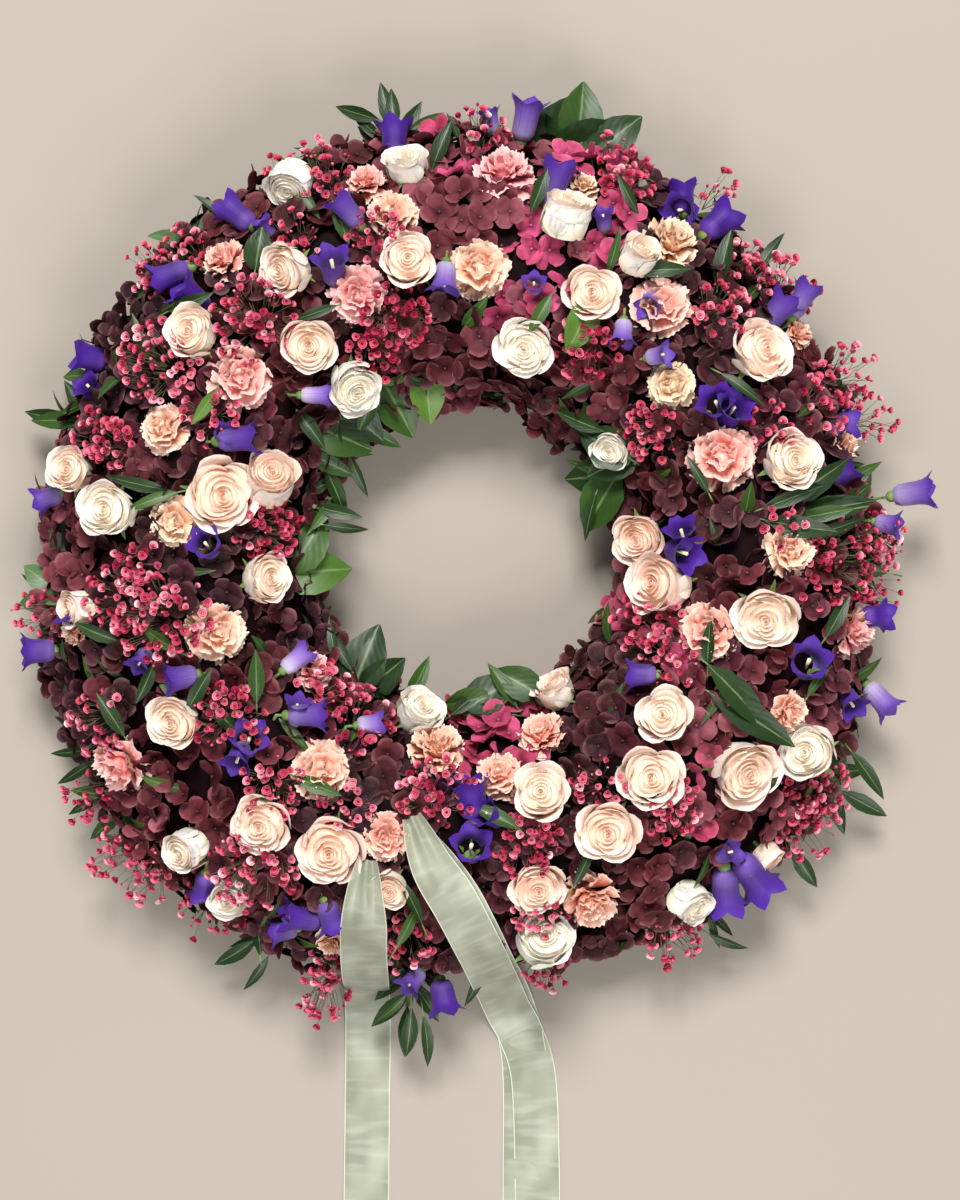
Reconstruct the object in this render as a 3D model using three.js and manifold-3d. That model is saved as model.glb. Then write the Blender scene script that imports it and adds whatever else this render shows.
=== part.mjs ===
// A fresh-flower memorial wreath lying on its tray: a ring of floral foam in a plastic tray, with
// hydrangea heads, roses, carnations, bellflowers and ruscus sprigs pushed into it, and three tails
// of sheer ribbon. Millimetres, +Z up. Each flower is one solid with its own stem, and every stem
// points at the core of the ring.
import * as THREE from "three";
import { mergeVertices } from "three/addons/utils/BufferGeometryUtils.js";
import Module from "manifold-3d";

const wasm = await Module();
wasm.setup();

// ---------------------------------------------------------------- driving dimensions

const RING_RADIUS = 230; // centre line of the foam ring
const RING_SIDES = 40;
const GAP = 0.4; // clearance kept between neighbouring solids
const TRAY = { floor: 2.5, wall: 2.5, rise: 15 };
const FOAM = { width: 94, height: 58, bevel: 16 };
const CORE_HEIGHT = 30; // every stem points at the ring's core, this high above the table
const CUSHION = { halfWidth: 109, foot: 26, height: 98 }; // section of the bed of flowers
// How much further the bed spills outwards, by direction: [degrees, mm], straight in between.
const SPILL = [
  [0, 0], [36, 0], [72, 14], [108, 18], [144, 14], [180, 9], [216, 34], [252, 22],
  [270, 6], [276, 5], [300, 14], [324, 24], [345, 6], [360, 0],
];
const STEM = { radius: 2.8, fromCore: 10 };
const HYDRANGEA = { heads: 10, share: 0.985, sink: 5, lump: 3, pinch: 0.34, footing: 22, stem: 4.5 };
const RIBBON = { width: 38, thickness: 0.9 };

// Heads: [x, y, width across], measured from the middle of the ring.
const ROSES = [
  [-48, 312, 36], [-142, 226, 44], [-217, 175, 46], [-126, 166, 46], [101, 207, 46],
  [237, 160, 54], [259, 73, 50], [-284, 34, 48], [-196, 46, 60], [-162, -21, 42],
  [-231, -134, 44], [158, -26, 54], [240, -51, 54], [159, -130, 46], [148, -179, 52],
  [222, -174, 58], [277, -162, 48], [114, -222, 52], [-162, -216, 50], [-107, -237, 56],
  [62, -313, 52],
];
const CARNATIONS = [
  [-86, 206, 52], [-180, 140, 60], [32, 312, 56], [11, 227, 54], [168, 254, 54],
  [158, 198, 56], [205, 76, 60], [-284, -173, 58], [-198, -63, 54], [193, -63, 50],
  [321, -63, 50], [-113, -174, 58], [102, -284, 56],
];

// Bellflower stems: each bell is [x, y, height of its base, width of its mouth].
const BELLFLOWERS = [
  [[-336, -79, 62, 30], [-312, -52, 78, 26]],
  [[352, 48, 62, 30], [338, 24, 48, 24]],
  [[-21, -352, 52, 30], [-44, -338, 64, 24]],
  [[48, 340, 60, 30], [22, 344, 50, 22]],
  [[330, -108, 52, 30], [312, -132, 60, 24]],
  [[-296, 160, 66, 30], [-314, 132, 54, 24]],
];

// Ruscus sprigs: the tip of the stem as [x, y, z], the number of leaves and their length.
const SPRIGS = [
  { tip: [-60, 348, 46], leaves: 5, leafLength: 44 },
  { tip: [-318, 106, 40], leaves: 3, leafLength: 50 },
  { tip: [-48, -374, 40], leaves: 5, leafLength: 44 },
  { tip: [310, -196, 40], leaves: 5, leafLength: 46 },
  { tip: [-122, 38, 66], leaves: 5, leafLength: 40 },
];

// Ribbon tails: the middle of the underside as [x, y, z], out of the flowers, over their rim, down
// to the table and along it to the cut end. The right tail lies on the back one.
const TAILS = {
  ribbon_tail_left: [
    [-78, -246, 124], [-80, -272, 127], [-81, -298, 117], [-82, -322, 98], [-82, -341, 72], [-82, -355, 42],
    [-82, -369, 16], [-82, -387, 3], [-82, -410, 0], [-83, -500, 0], [-84, -598, 0],
  ],
  ribbon_tail_back: [
    [-38, -222, 119], [-16, -258, 126], [-2, -284, 119], [10, -309, 102], [19, -330, 76], [26, -347, 44],
    [32, -361, 17], [39, -380, 3], [46, -404, 0], [50, -440, 0], [50, -520, 0], [50, -604, 0],
  ],
  ribbon_tail_right: [
    [-42, -212, 122], [-27, -248, 131], [-10, -276, 127], [3, -302, 112], [14, -326, 90], [22, -346, 58],
    [28, -362, 28], [36, -382, 8], [47, -404, 1.6], [57, -440, 1.3], [60, -520, 1.3], [60, -592, 1.3],
  ],
};

// ---------------------------------------------------------------- small helpers

const ringPoint = (angle, radius, z) =>
  new THREE.Vector3(radius * Math.cos(angle), radius * Math.sin(angle), z);

// A closed geometry as a solid for cutting and joining.
function solidOf(geometry) {
  const bare = geometry.clone();
  bare.deleteAttribute("normal");
  bare.deleteAttribute("uv");
  const merged = mergeVertices(bare, 1e-3);
  return new wasm.Manifold(
    new wasm.Mesh({
      numProp: 3,
      vertProperties: merged.attributes.position.array,
      triVerts: new Uint32Array(merged.index.array),
    }),
  );
}

// The largest body of a solid, as a three.js geometry.
function geometryOf(solid) {
  const body = solid.decompose().sort((a, b) => b.volume() - a.volume())[0];
  const mesh = body.getMesh();
  return new THREE.BufferGeometry()
    .setAttribute("position", new THREE.BufferAttribute(mesh.vertProperties, 3))
    .setIndex(new THREE.BufferAttribute(mesh.triVerts, 1));
}

// Moves every vertex of a geometry with change(point).
function reshape(geometry, change) {
  const places = geometry.attributes.position;
  const point = new THREE.Vector3();
  for (let i = 0; i < places.count; i++) {
    change(point.fromBufferAttribute(places, i));
    places.setXYZ(i, point.x, point.y, point.z);
  }
  return geometry;
}

// A turned solid about +Z from rows of [radius, height] that rise from the axis to the axis, or
// that close on themselves. ripple(angle, row) scales a row's radius.
function turned(rows, sides, ripple = () => 1) {
  const points = rows.map(([r, z]) => new THREE.Vector2(r, z));
  const geometry = new THREE.LatheGeometry(points, sides).rotateX(Math.PI / 2);
  const places = geometry.attributes.position;
  for (let i = 0; i < places.count; i++) {
    const column = Math.floor(i / rows.length) % sides;
    const scale = ripple((column / sides) * 2 * Math.PI, i % rows.length);
    places.setXY(i, places.getX(i) * scale, places.getY(i) * scale);
  }
  return geometry;
}

// A closed solid through sections with the same number of points, capped at both ends.
function loft(sections) {
  const n = sections[0].length;
  const middle = (section) =>
    section.reduce((sum, p) => sum.add(p), new THREE.Vector3()).divideScalar(n);
  const points = [...sections.flat(), middle(sections[0]), middle(sections.at(-1))];
  const [startPole, endPole] = [points.length - 2, points.length - 1];
  const lastRow = (sections.length - 1) * n;
  const faces = [];
  for (let k = 0; k < n; k++) {
    const next = (k + 1) % n;
    for (let row = 0; row < lastRow; row += n) {
      faces.push(row + k, row + n + next, row + next, row + k, row + n + k, row + n + next);
    }
    faces.push(startPole, k, next, endPole, lastRow + next, lastRow + k);
  }
  return new THREE.BufferGeometry().setFromPoints(points).setIndex(faces);
}

// ---------------------------------------------------------------- where flowers stand

const coreBelow = (x, y) => ringPoint(Math.atan2(y, x), RING_RADIUS, CORE_HEIGHT);

// The bed's width from the centre line to its rim, in a direction, outwards or inwards.
function rimReach(angle, outwards) {
  if (!outwards) return CUSHION.halfWidth;
  const degrees = (THREE.MathUtils.radToDeg(angle) + 360) % 360;
  const next = SPILL.findIndex(([to]) => to > degrees);
  const [[from, low], [to, high]] = [SPILL[next - 1], SPILL[next]];
  return CUSHION.halfWidth + THREE.MathUtils.mapLinear(degrees, from, to, low, high);
}

// The bed's surface at a place in plan. Past the rim it keeps the rim's height.
function bedHeight(x, y) {
  const out = Math.hypot(x, y) - RING_RADIUS;
  const across = Math.min(0.94, Math.abs(out) / rimReach(Math.atan2(y, x), out > 0));
  return CUSHION.foot + CUSHION.height * Math.sqrt(1 - across * across);
}

// Turns and moves a flower modelled upright at the origin so that it faces away from the core.
function plant(geometry, place, core, spin) {
  const outward = place.clone().sub(core).normalize();
  const turn = new THREE.Quaternion().setFromUnitVectors(new THREE.Vector3(0, 0, 1), outward);
  return geometry.rotateZ(spin).applyQuaternion(turn).translate(place.x, place.y, place.z);
}

// ---------------------------------------------------------------- flowers on stems

// Each kind: its sides, its folds as shares of half its width, rising from the green cup to the
// heart, and the plain socket that it needs in what surrounds it.
const ROSE = {
  sides: 8,
  proud: 2,
  rows: [
    [0.26, -0.62], [0.58, -0.44], [0.98, -0.08], [1, 0.1], [0.8, 0.06],
    [0.7, 0.34], [0.42, 0.24], [0.3, 0.42], [0, 0.32],
  ],
  socket: [[0.3, -0.7], [1.08, -0.1], [1.06, 0.2], [0, 0.6]],
  ripple: (angle, row) => 1 + 0.06 * Math.cos(4 * angle + row * Math.PI),
};
const CARNATION = {
  sides: 10,
  proud: 2,
  rows: [
    [0.26, -0.74], [0.3, -0.36], [0.74, -0.2], [1, 0], [0.84, 0.14],
    [0.7, 0.06], [0.5, 0.28], [0, 0.24],
  ],
  socket: [[0.3, -0.8], [0.36, -0.42], [1.1, -0.06], [1, 0.24], [0, 0.5]],
  ripple: (angle, row) => 1 + (row > 1 ? 0.07 : 0) * Math.cos(5 * angle + row * Math.PI),
};
const BELLFLOWER = {
  sides: 10,
  rows: [[0.34, 0], [0.64, 0.26], [0.68, 1.15], [1.08, 1.75], [0.5, 1.35], [0, 0.6]],
  socket: [[0.4, -0.1], [0.76, 0.2], [0.8, 1.1], [1.28, 1.75], [0, 1.9]],
  ripple: (angle, row) => 1 + (row === 3 ? 0.16 : 0) * Math.cos(5 * angle),
};
const SOCKET_SIDES = 6;
const SOCKET_SPREAD = 1 / Math.cos(Math.PI / SOCKET_SIDES); // so that its flats clear a round head

// The lowest rows of a flower: its cut stem, from the foam up to the underside of the head.
const stemRows = (length, top, grow) => [
  [0, -length - grow],
  [STEM.radius + grow, -length - grow],
  [STEM.radius + grow, top],
];

// A flower upright on its stem, or the socket that it needs, cleared by the gap.
function stemmed(kind, width, stemLength, asSocket) {
  const half = width / 2;
  if (!asSocket) {
    const rows = kind.rows.map(([r, z]) => [r * half, z * half]);
    const stem = stemRows(stemLength, rows[0][1] - 1, 0);
    const ripple = (angle, row) => (row < stem.length ? 1 : kind.ripple(angle, row - stem.length));
    return turned([...stem, ...rows], kind.sides, ripple);
  }
  const rows = kind.socket.map(([r, z]) => [r && r * half + GAP, z * half]);
  const stem = stemRows(stemLength, rows[0][1] - 1, GAP);
  return turned([...stem, ...rows], SOCKET_SIDES, () => SOCKET_SPREAD);
}

// A rose or carnation whose head sits a little proud of the bed.
const headed = (kind) => ([x, y, width], spin) => (asSocket) => {
  const core = coreBelow(x, y);
  const place = new THREE.Vector3(x, y, bedHeight(x, y) + kind.proud);
  const stemLength = place.distanceTo(core) - STEM.fromCore;
  return solidOf(plant(stemmed(kind, width, stemLength, asSocket), place, core, spin));
};
const rose = headed(ROSE);
const carnation = headed(CARNATION);

// A bellflower stem: its bells share one foot in the foam.
const bellflower = (bells) => (asSocket) => {
  const core = coreBelow(bells[0][0], bells[0][1]);
  const parts = bells.map(([x, y, z, mouth], i) => {
    const place = new THREE.Vector3(x, y, z);
    const stemLength = place.distanceTo(core) - STEM.fromCore;
    return solidOf(plant(stemmed(BELLFLOWER, mouth, stemLength, asSocket), place, core, i));
  });
  return wasm.Manifold.union(parts);
};

// ---------------------------------------------------------------- ruscus sprigs

// One leaf along +X from the origin: a thin pointed blade, widest near its foot, drooping at the tip.
function leafBlade(length, grow) {
  const blade = new THREE.SphereGeometry(1, 4, 6).rotateZ(-Math.PI / 2);
  const half = { long: length / 2 + grow, wide: length * 0.17 + grow, thick: 1 + grow };
  return reshape(blade, (p) => {
    const tipward = (p.x + 1) / 2;
    p.y *= half.wide * (1.15 - 0.5 * tipward);
    p.z = p.z * half.thick - 5 * tipward * tipward;
    p.x = (p.x + 1) * half.long - grow;
  });
}

// A sprig: a stem from the core to its tip, with leaves in turn on both sides.
const sprig = ({ tip, leaves, leafLength }) => (asSocket) => {
  const grow = asSocket ? GAP : 0;
  const end = new THREE.Vector3(...tip);
  const core = coreBelow(end.x, end.y);
  const along = end.clone().sub(core).normalize();
  const length = end.distanceTo(core) - STEM.fromCore;
  const stem = turned([...stemRows(length, 0, grow), [0, 2 + grow]], SOCKET_SIDES);
  const parts = [solidOf(plant(stem, end, core, 0))];
  const heading = Math.atan2(along.y, along.x);
  const spacing = 11; // along the stem from one leaf to the next
  for (let i = 0; i < leaves; i++) {
    const side = i === 0 ? 0 : i % 2 ? 1 : -1;
    const foot = end.clone().addScaledVector(along, -spacing * i);
    const blade = leafBlade(leafLength, grow).rotateX(side * 0.35).rotateZ(heading + side * 0.75);
    parts.push(solidOf(blade.translate(foot.x, foot.y, foot.z)));
  }
  return wasm.Manifold.union(parts);
};

// ---------------------------------------------------------------- hydrangea heads

const hydrangeaAngle = (index) => (index / HYDRANGEA.heads) * 2 * Math.PI;

// A hydrangea's woody stem, down into the foam.
function hydrangeaStem(index, grow) {
  const foot = ringPoint(hydrangeaAngle(index), RING_RADIUS, CORE_HEIGHT - grow);
  const [radius, top] = [HYDRANGEA.stem + grow, CUSHION.foot + CUSHION.height / 2 - CORE_HEIGHT];
  const stem = turned([[0, 0], [radius, 0], [radius, top], [0, top]], SOCKET_SIDES);
  return solidOf(stem.translate(foot.x, foot.y, foot.z));
}

// A hydrangea head pressed over the ring: a stretch of the bed with rounded ends and a lumpy top.
function hydrangeaHead(index) {
  const [stations, arc] = [6, 10];
  const halfAngle = (Math.PI / HYDRANGEA.heads) * HYDRANGEA.share;
  const sections = [];
  for (let i = 0; i < stations; i++) {
    const t = -Math.cos((i / (stations - 1)) * Math.PI);
    const swell = Math.sqrt(1 - HYDRANGEA.pinch * Math.abs(t) ** 3);
    const angle = hydrangeaAngle(index) + t * halfAngle;
    const section = [];
    for (let j = 0; j < arc; j++) {
      const turn = (j / (arc - 1)) * Math.PI;
      const lump = HYDRANGEA.lump * Math.sin(5 * i + 2.4 * index) * Math.cos(3 * j + index);
      const rim = rimReach(angle, turn < Math.PI / 2) * swell;
      const reach = (rim - HYDRANGEA.sink + lump) * Math.cos(turn);
      const rise = (CUSHION.height * swell - HYDRANGEA.sink + lump) * Math.sin(turn);
      section.push(ringPoint(angle, RING_RADIUS + reach, CUSHION.foot + rise));
    }
    const foot = (p) => p.clone().setZ(HYDRANGEA.footing);
    sections.push([...section, foot(section[arc - 1]), foot(section[0])]);
  }
  return solidOf(loft(sections));
}

// ---------------------------------------------------------------- base and ribbons

function tray(asSocket) {
  const room = FOAM.width / 2 + GAP;
  const half = room + TRAY.wall + (asSocket ? GAP : 0);
  const [bottom, top] = asSocket ? [-GAP, TRAY.rise + GAP] : [0, TRAY.rise];
  const [inner, outer] = [RING_RADIUS - half, RING_RADIUS + half];
  const outline = [[inner, bottom], [outer, bottom], [outer, top]];
  if (!asSocket) {
    const [floorIn, floorOut] = [RING_RADIUS - room, RING_RADIUS + room];
    outline.push([floorOut, top], [floorOut, TRAY.floor], [floorIn, TRAY.floor], [floorIn, top]);
  }
  return solidOf(turned([...outline, [inner, top], [inner, bottom]], RING_SIDES));
}

function foam(asSocket) {
  const grow = asSocket ? GAP : 0;
  const [inner, outer] = [RING_RADIUS - FOAM.width / 2 - grow, RING_RADIUS + FOAM.width / 2 + grow];
  const [bottom, top] = [TRAY.floor + GAP - grow, TRAY.floor + GAP + FOAM.height + grow];
  const shoulder = top - FOAM.bevel;
  const profile = [
    [inner, bottom], [outer, bottom], [outer, shoulder], [outer - FOAM.bevel, top],
    [inner + FOAM.bevel, top], [inner, shoulder], [inner, bottom],
  ];
  return solidOf(turned(profile, RING_SIDES));
}

// A tail's strip: a flat rectangle carried along its route, square to it in plan and in fall.
const ribbonTail = (route) => (asSocket) => {
  const grow = asSocket ? GAP : 0;
  const places = route.map((p) => new THREE.Vector3(...p));
  const sections = places.map((place, i) => {
    const before = places[Math.max(0, i - 1)];
    const after = places[Math.min(places.length - 1, i + 1)];
    const ahead = after.clone().sub(before).normalize();
    const across = new THREE.Vector3(-ahead.y, ahead.x, 0).setLength(RIBBON.width / 2 + grow);
    const up = new THREE.Vector3().crossVectors(ahead, across).normalize();
    const corner = (side, rise) => place.clone().addScaledVector(across, side).addScaledVector(up, rise);
    const [under, over] = [-grow, RIBBON.thickness + grow];
    return [corner(-1, under), corner(-1, over), corner(1, over), corner(1, under)];
  });
  return solidOf(loft(sections));
};

// ---------------------------------------------------------------- assembly

const finish = (color, roughness = 0.75) =>
  new THREE.MeshStandardMaterial({ color, roughness, metalness: 0 });
const FINISHES = {
  tray: finish(0x24382a, 0.45),
  foam: finish(0x3f6b46, 0.95),
  hydrangea: finish(0x5a2036),
  rose: finish(0xf2dccb, 0.6),
  carnation: finish(0xe9a990, 0.65),
  bellflower: finish(0x5a3fc0, 0.5),
  ruscus: finish(0x2f5a2c, 0.45),
  ribbon: finish(0xb9c6ae, 0.35),
};

const wreath = new THREE.Group();
const sockets = []; // the room that the pieces added so far need in those added after them

function add(name, material, solid, socket) {
  const cut = sockets.reduce((rest, taken) => rest.subtract(taken), solid);
  if (socket) sockets.push(socket);
  const mesh = new THREE.Mesh(geometryOf(cut), material);
  mesh.name = name;
  wreath.add(mesh);
}

const numbered = (name, index) => name + "_" + String(index + 1).padStart(2, "0");
const GOLDEN_ANGLE = 2.4; // spins each flower away from its neighbour's turn

function addEach(name, material, makers) {
  makers.forEach((make, i) => add(numbered(name, i), material, make(false), make(true)));
}

for (const [name, route] of Object.entries(TAILS)) {
  const make = ribbonTail(route);
  add(name, FINISHES.ribbon, make(false), make(true));
}
addEach("rose", FINISHES.rose, ROSES.map((at, i) => rose(at, i * GOLDEN_ANGLE)));
addEach("carnation", FINISHES.carnation, CARNATIONS.map((at, i) => carnation(at, i * GOLDEN_ANGLE)));
addEach("bellflower", FINISHES.bellflower, BELLFLOWERS.map(bellflower));
addEach("ruscus_sprig", FINISHES.ruscus, SPRIGS.map(sprig));

const heads = Array.from({ length: HYDRANGEA.heads }, (_, i) => i);
const stemHoles = wasm.Manifold.union(heads.map((i) => hydrangeaStem(i, GAP)));
add("foam_ring", FINISHES.foam, foam(false).subtract(stemHoles));
add("base_tray", FINISHES.tray, tray(false));
const base = foam(true).add(tray(true));
for (const i of heads) {
  const head = hydrangeaHead(i).subtract(base).add(hydrangeaStem(i, 0));
  add(numbered("hydrangea", i), FINISHES.hydrangea, head);
}

// The origin is under the middle of the whole wreath with its ribbons, on the table.
const box = new THREE.Box3().setFromObject(wreath);
const middle = box.getCenter(new THREE.Vector3());
wreath.position.set(-middle.x, -middle.y, -box.min.z);

export default wreath;
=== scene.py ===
import math
import random

import bmesh
import bpy
from mathutils import Matrix, Vector, geometry


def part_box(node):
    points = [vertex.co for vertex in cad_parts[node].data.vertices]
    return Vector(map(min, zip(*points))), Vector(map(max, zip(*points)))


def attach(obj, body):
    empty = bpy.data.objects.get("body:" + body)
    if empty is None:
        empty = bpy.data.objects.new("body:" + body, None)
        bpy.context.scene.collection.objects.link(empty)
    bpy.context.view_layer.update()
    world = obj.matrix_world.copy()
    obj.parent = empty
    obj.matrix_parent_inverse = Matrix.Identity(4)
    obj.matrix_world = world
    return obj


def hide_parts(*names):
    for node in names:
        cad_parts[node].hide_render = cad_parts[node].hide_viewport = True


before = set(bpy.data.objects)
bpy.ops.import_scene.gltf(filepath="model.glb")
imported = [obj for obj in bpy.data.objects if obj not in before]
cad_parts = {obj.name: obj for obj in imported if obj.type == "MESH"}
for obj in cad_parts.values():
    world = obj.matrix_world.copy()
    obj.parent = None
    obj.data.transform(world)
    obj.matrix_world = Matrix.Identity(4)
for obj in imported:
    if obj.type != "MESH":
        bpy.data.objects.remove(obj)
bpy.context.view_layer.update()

# A funeral wreath lying flat: a ring of floral foam in a tray, bedded with hydrangea and set with
# roses, carnations, bellflowers, gypsophila and greenery, with two trailing organza ribbons.
# Lists give places in millimetres from the middle of the ring, +Y towards the top of the wreath.

MM = 0.001
UP = Vector((0, 0, 1))


def middle(node):
    low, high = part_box(node)
    return (Vector(low) + Vector(high)) / 2


CENTRE = Vector((*middle("foam_ring").xy, 0))
RING_RADIUS = 230
CORE_HEIGHT = 30
BED_HALF_WIDTH = 109
BED_FOOT = 26
BED_HEIGHT = 98
# How much further the bed spills outwards: direction in degrees and millimetres.
SPILL = [
    (0, 0), (36, 0), (72, 14), (108, 18), (144, 14), (180, 9), (216, 34), (252, 22),
    (270, 6), (276, 5), (300, 14), (324, 24), (345, 6), (360, 0),
]


def at(x, y, z):
    return CENTRE + Vector((x, y, z)) * MM


def spill(turn):
    """How much further the bed reaches in a direction, in radians."""
    degrees = math.degrees(turn) % 360
    for (start, low), (end, high) in zip(SPILL, SPILL[1:]):
        if degrees <= end:
            return low + (high - low) * (degrees - start) / (end - start)
    return 0


def rim_reach(turn, outwards):
    """The bed's width from the ring's middle line to its rim."""
    return BED_HALF_WIDTH + (spill(turn) if outwards else 0)


def bed_height(x, y):
    """The height of the bed's surface, which keeps the rim's height past the rim."""
    out = math.hypot(x, y) - RING_RADIUS
    across = min(0.94, abs(out) / rim_reach(math.atan2(y, x), out > 0))
    return BED_FOOT + BED_HEIGHT * math.sqrt(1 - across * across)


def core_below(x, y):
    """The point in the foam that a flower's stem points to."""
    share = RING_RADIUS / math.hypot(x, y)
    return at(x * share, y * share, CORE_HEIGHT)


def heading(degrees, pitch):
    """A direction: degrees round from +X, pitch above the horizon."""
    level = math.cos(math.radians(pitch))
    turn = math.radians(degrees)
    return Vector((level * math.cos(turn), level * math.sin(turn), math.sin(math.radians(pitch))))


def aim(direction, spin=0.0):
    """Turns a model's +Z to a direction, after a spin about +Z."""
    return direction.to_track_quat("Z", "Y").to_matrix().to_4x4() @ Matrix.Rotation(spin, 4, "Z")


def lay(direction, face):
    """Turns a leaf's +Z to a direction and its upper side to a face."""
    z = direction.normalized()
    y = -(face - face.dot(z) * z).normalized()
    return Matrix((y.cross(z), y, z)).transposed().to_4x4()


def held(share):
    """A share, held to 0..1."""
    return min(1, max(0, share))


def moved(place):
    return Matrix.Translation(place)


def sized(size):
    return Matrix.Scale(size, 4)


# ---------------------------------------------------------------- materials

def linear(colour):
    """A colour written as in a paint chart, #rrggbb, made linear."""
    shares = [int(colour[i : i + 2], 16) / 255 for i in (1, 3, 5)]
    return (*[c / 12.92 if c < 0.04 else ((c + 0.055) / 1.055) ** 2.4 for c in shares], 1)


class Finish:
    """A material in the making, with short ways to add its nodes."""

    def __init__(self, name, roughness, subsurface=0.0, sheen=0.0, specular=0.5):
        self.material = bpy.data.materials.new(name)
        self.material.use_nodes = True
        self.tree = self.material.node_tree
        self.shader = self.tree.nodes["Principled BSDF"]
        self.set("Roughness", roughness)
        self.set("Subsurface Weight", subsurface)
        self.set("Subsurface Radius", (0.6, 0.4, 0.25))
        self.set("Subsurface Scale", 0.004)
        self.set("Sheen Weight", sheen)
        self.set("Specular IOR Level", specular)

    def set(self, socket, value):
        self.shader.inputs[socket].default_value = value

    def node(self, kind, **settings):
        node = self.tree.nodes.new("ShaderNode" + kind)
        for name, value in settings.items():
            setattr(node, name, value)
        return node

    def link(self, source, target):
        self.tree.links.new(source, target)

    def attribute(self, name):
        return self.node("Attribute", attribute_name=name).outputs["Fac"]

    def over(self, axis):
        """The piece's own UV map: X across it, Y along it from a petal's foot to its lip."""
        split = self.node("SeparateXYZ")
        self.link(self.node("TexCoord").outputs["UV"], split.inputs[0])
        return split.outputs[axis]

    def off_middle(self):
        """How far across from the middle line: 0 on it, 0.5 at the edges."""
        shifted = self.node("Math", operation="SUBTRACT")
        shifted.inputs[1].default_value = 0.5
        off = self.node("Math", operation="ABSOLUTE")
        self.link(self.over("X"), shifted.inputs[0])
        self.link(shifted.outputs[0], off.inputs[0])
        return off.outputs[0]

    def noise(self, scale, detail=2.0, stretch=None):
        """Cloudy noise in the object's space, or over its UV map where a stretch is given."""
        noise = self.node("TexNoise")
        noise.inputs["Scale"].default_value = scale
        noise.inputs["Detail"].default_value = detail
        source = self.node("TexCoord").outputs["Object" if stretch is None else "UV"]
        if stretch is not None:
            mapping = self.node("Mapping")
            mapping.inputs["Scale"].default_value = (*stretch, 1)
            self.link(source, mapping.inputs[0])
            source = mapping.outputs[0]
        self.link(source, noise.inputs["Vector"])
        return noise.outputs["Fac"]

    def ramp(self, factor, stops, interpolation="LINEAR"):
        """stops: (place, colour) pairs."""
        ramp = self.node("ValToRGB")
        ramp.color_ramp.interpolation = interpolation
        elements = ramp.color_ramp.elements
        while len(elements) < len(stops):
            elements.new(1.0)
        for element, (place, colour) in zip(elements, stops):
            element.position = place
            element.color = linear(colour)
        self.link(factor, ramp.inputs[0])
        return ramp.outputs["Color"]

    def mix(self, factor, a, b, mode="MIX"):
        mix = self.node("Mix", data_type="RGBA", blend_type=mode)
        for socket, value in ((mix.inputs["Factor"], factor), (mix.inputs[6], a), (mix.inputs[7], b)):
            if isinstance(value, (int, float)):
                socket.default_value = value
            elif isinstance(value, str):
                socket.default_value = linear(value)
            else:
                self.link(value, socket)
        return mix.outputs[2]

    def reach(self, value, low, high, top=1.0):
        """How far a value has come from low to high, held to 0..top."""
        node = self.node("MapRange")
        node.inputs["From Min"].default_value = low
        node.inputs["From Max"].default_value = high
        node.inputs["To Max"].default_value = top
        self.link(value, node.inputs["Value"])
        return node.outputs[0]

    def bump(self, height, strength, distance):
        bump = self.node("Bump")
        bump.inputs["Strength"].default_value = strength
        bump.inputs["Distance"].default_value = distance
        self.link(height, bump.inputs["Height"])
        self.link(bump.outputs[0], self.shader.inputs["Normal"])

    def done(self, colour):
        self.link(colour, self.shader.inputs["Base Color"])
        return self.material


def rose_petal_finish():
    """Cream to blush, faintly green or peach at each petal's foot and deeper there in the folds, where the
    colour is partly the petal's own and partly painted warm shade; a thin dry lip.
    """
    finish = Finish("rose_petal", 0.6, subsurface=0.45, sheen=0.1, specular=0.3)
    along = finish.over("Y")
    tint = finish.attribute("tint")
    outer = finish.ramp(tint, [(0, "#f7f3ea"), (0.4, "#f8e8dc"), (1, "#f8ded1")])
    inner = finish.ramp(tint, [(0, "#f5edd9"), (0.4, "#f8d8c0"), (1, "#f6c4ac")])
    colour = finish.mix(finish.reach(finish.attribute("heart"), 0.1, 0.95), outer, inner)
    # Painted shade, partly the petal's own colour: towards its foot, deep in the folds between petals,
    # each petal turns cream-green or peach, standing in for the warm shade there.
    foot = finish.mix(finish.reach(tint, 0, 1), "#ece6c4", "#f4bc96")
    colour = finish.mix(finish.reach(along, 0.72, 0.15, 0.7), colour, foot)
    colour = finish.mix(finish.reach(along, 0.95, 1.0, 0.2), colour, "#ecc8b0")
    colour = finish.mix(finish.reach(finish.noise(90, 3), 0.45, 0.8, 0.25), colour, "#f3ddd0", "MULTIPLY")
    finish.bump(finish.noise(5, 2, stretch=(9, 1.2)), 0.1, 0.001)
    return finish.done(colour)


def carnation_petal_finish():
    """Peach, tan, salmon or pink, paler towards the toothed edge; the deeper colour towards the foot, down
    in the folds, is partly the petal's own and partly painted shade.
    """
    finish = Finish("carnation_petal", 0.66, subsurface=0.3, sheen=0.1, specular=0.25)
    along = finish.over("Y")
    tint = finish.attribute("tint")
    lip = finish.ramp(tint, [(0, "#f4dfc0"), (0.3, "#fbdcc4"), (0.65, "#fccfc0"), (1, "#fbc4c8")])
    # Deeper towards the foot: partly the petals' own colour, partly painted shade down in the folds.
    fold = finish.ramp(tint, [(0, "#d6aa78"), (0.3, "#eca680"), (0.65, "#ee8e76"), (1, "#ec828e")])
    colour = finish.mix(finish.reach(along, 0.5, 1.0), fold, lip)
    colour = finish.mix(finish.reach(along, 0.93, 1.0, 0.5), colour, "#fdeee0")
    colour = finish.mix(finish.reach(finish.noise(160, 3), 0.35, 0.7, 0.3), colour, "#f0ccba", "MULTIPLY")
    finish.bump(finish.noise(5, 2, stretch=(14, 1)), 0.3, 0.001)
    return finish.done(colour)


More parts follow.
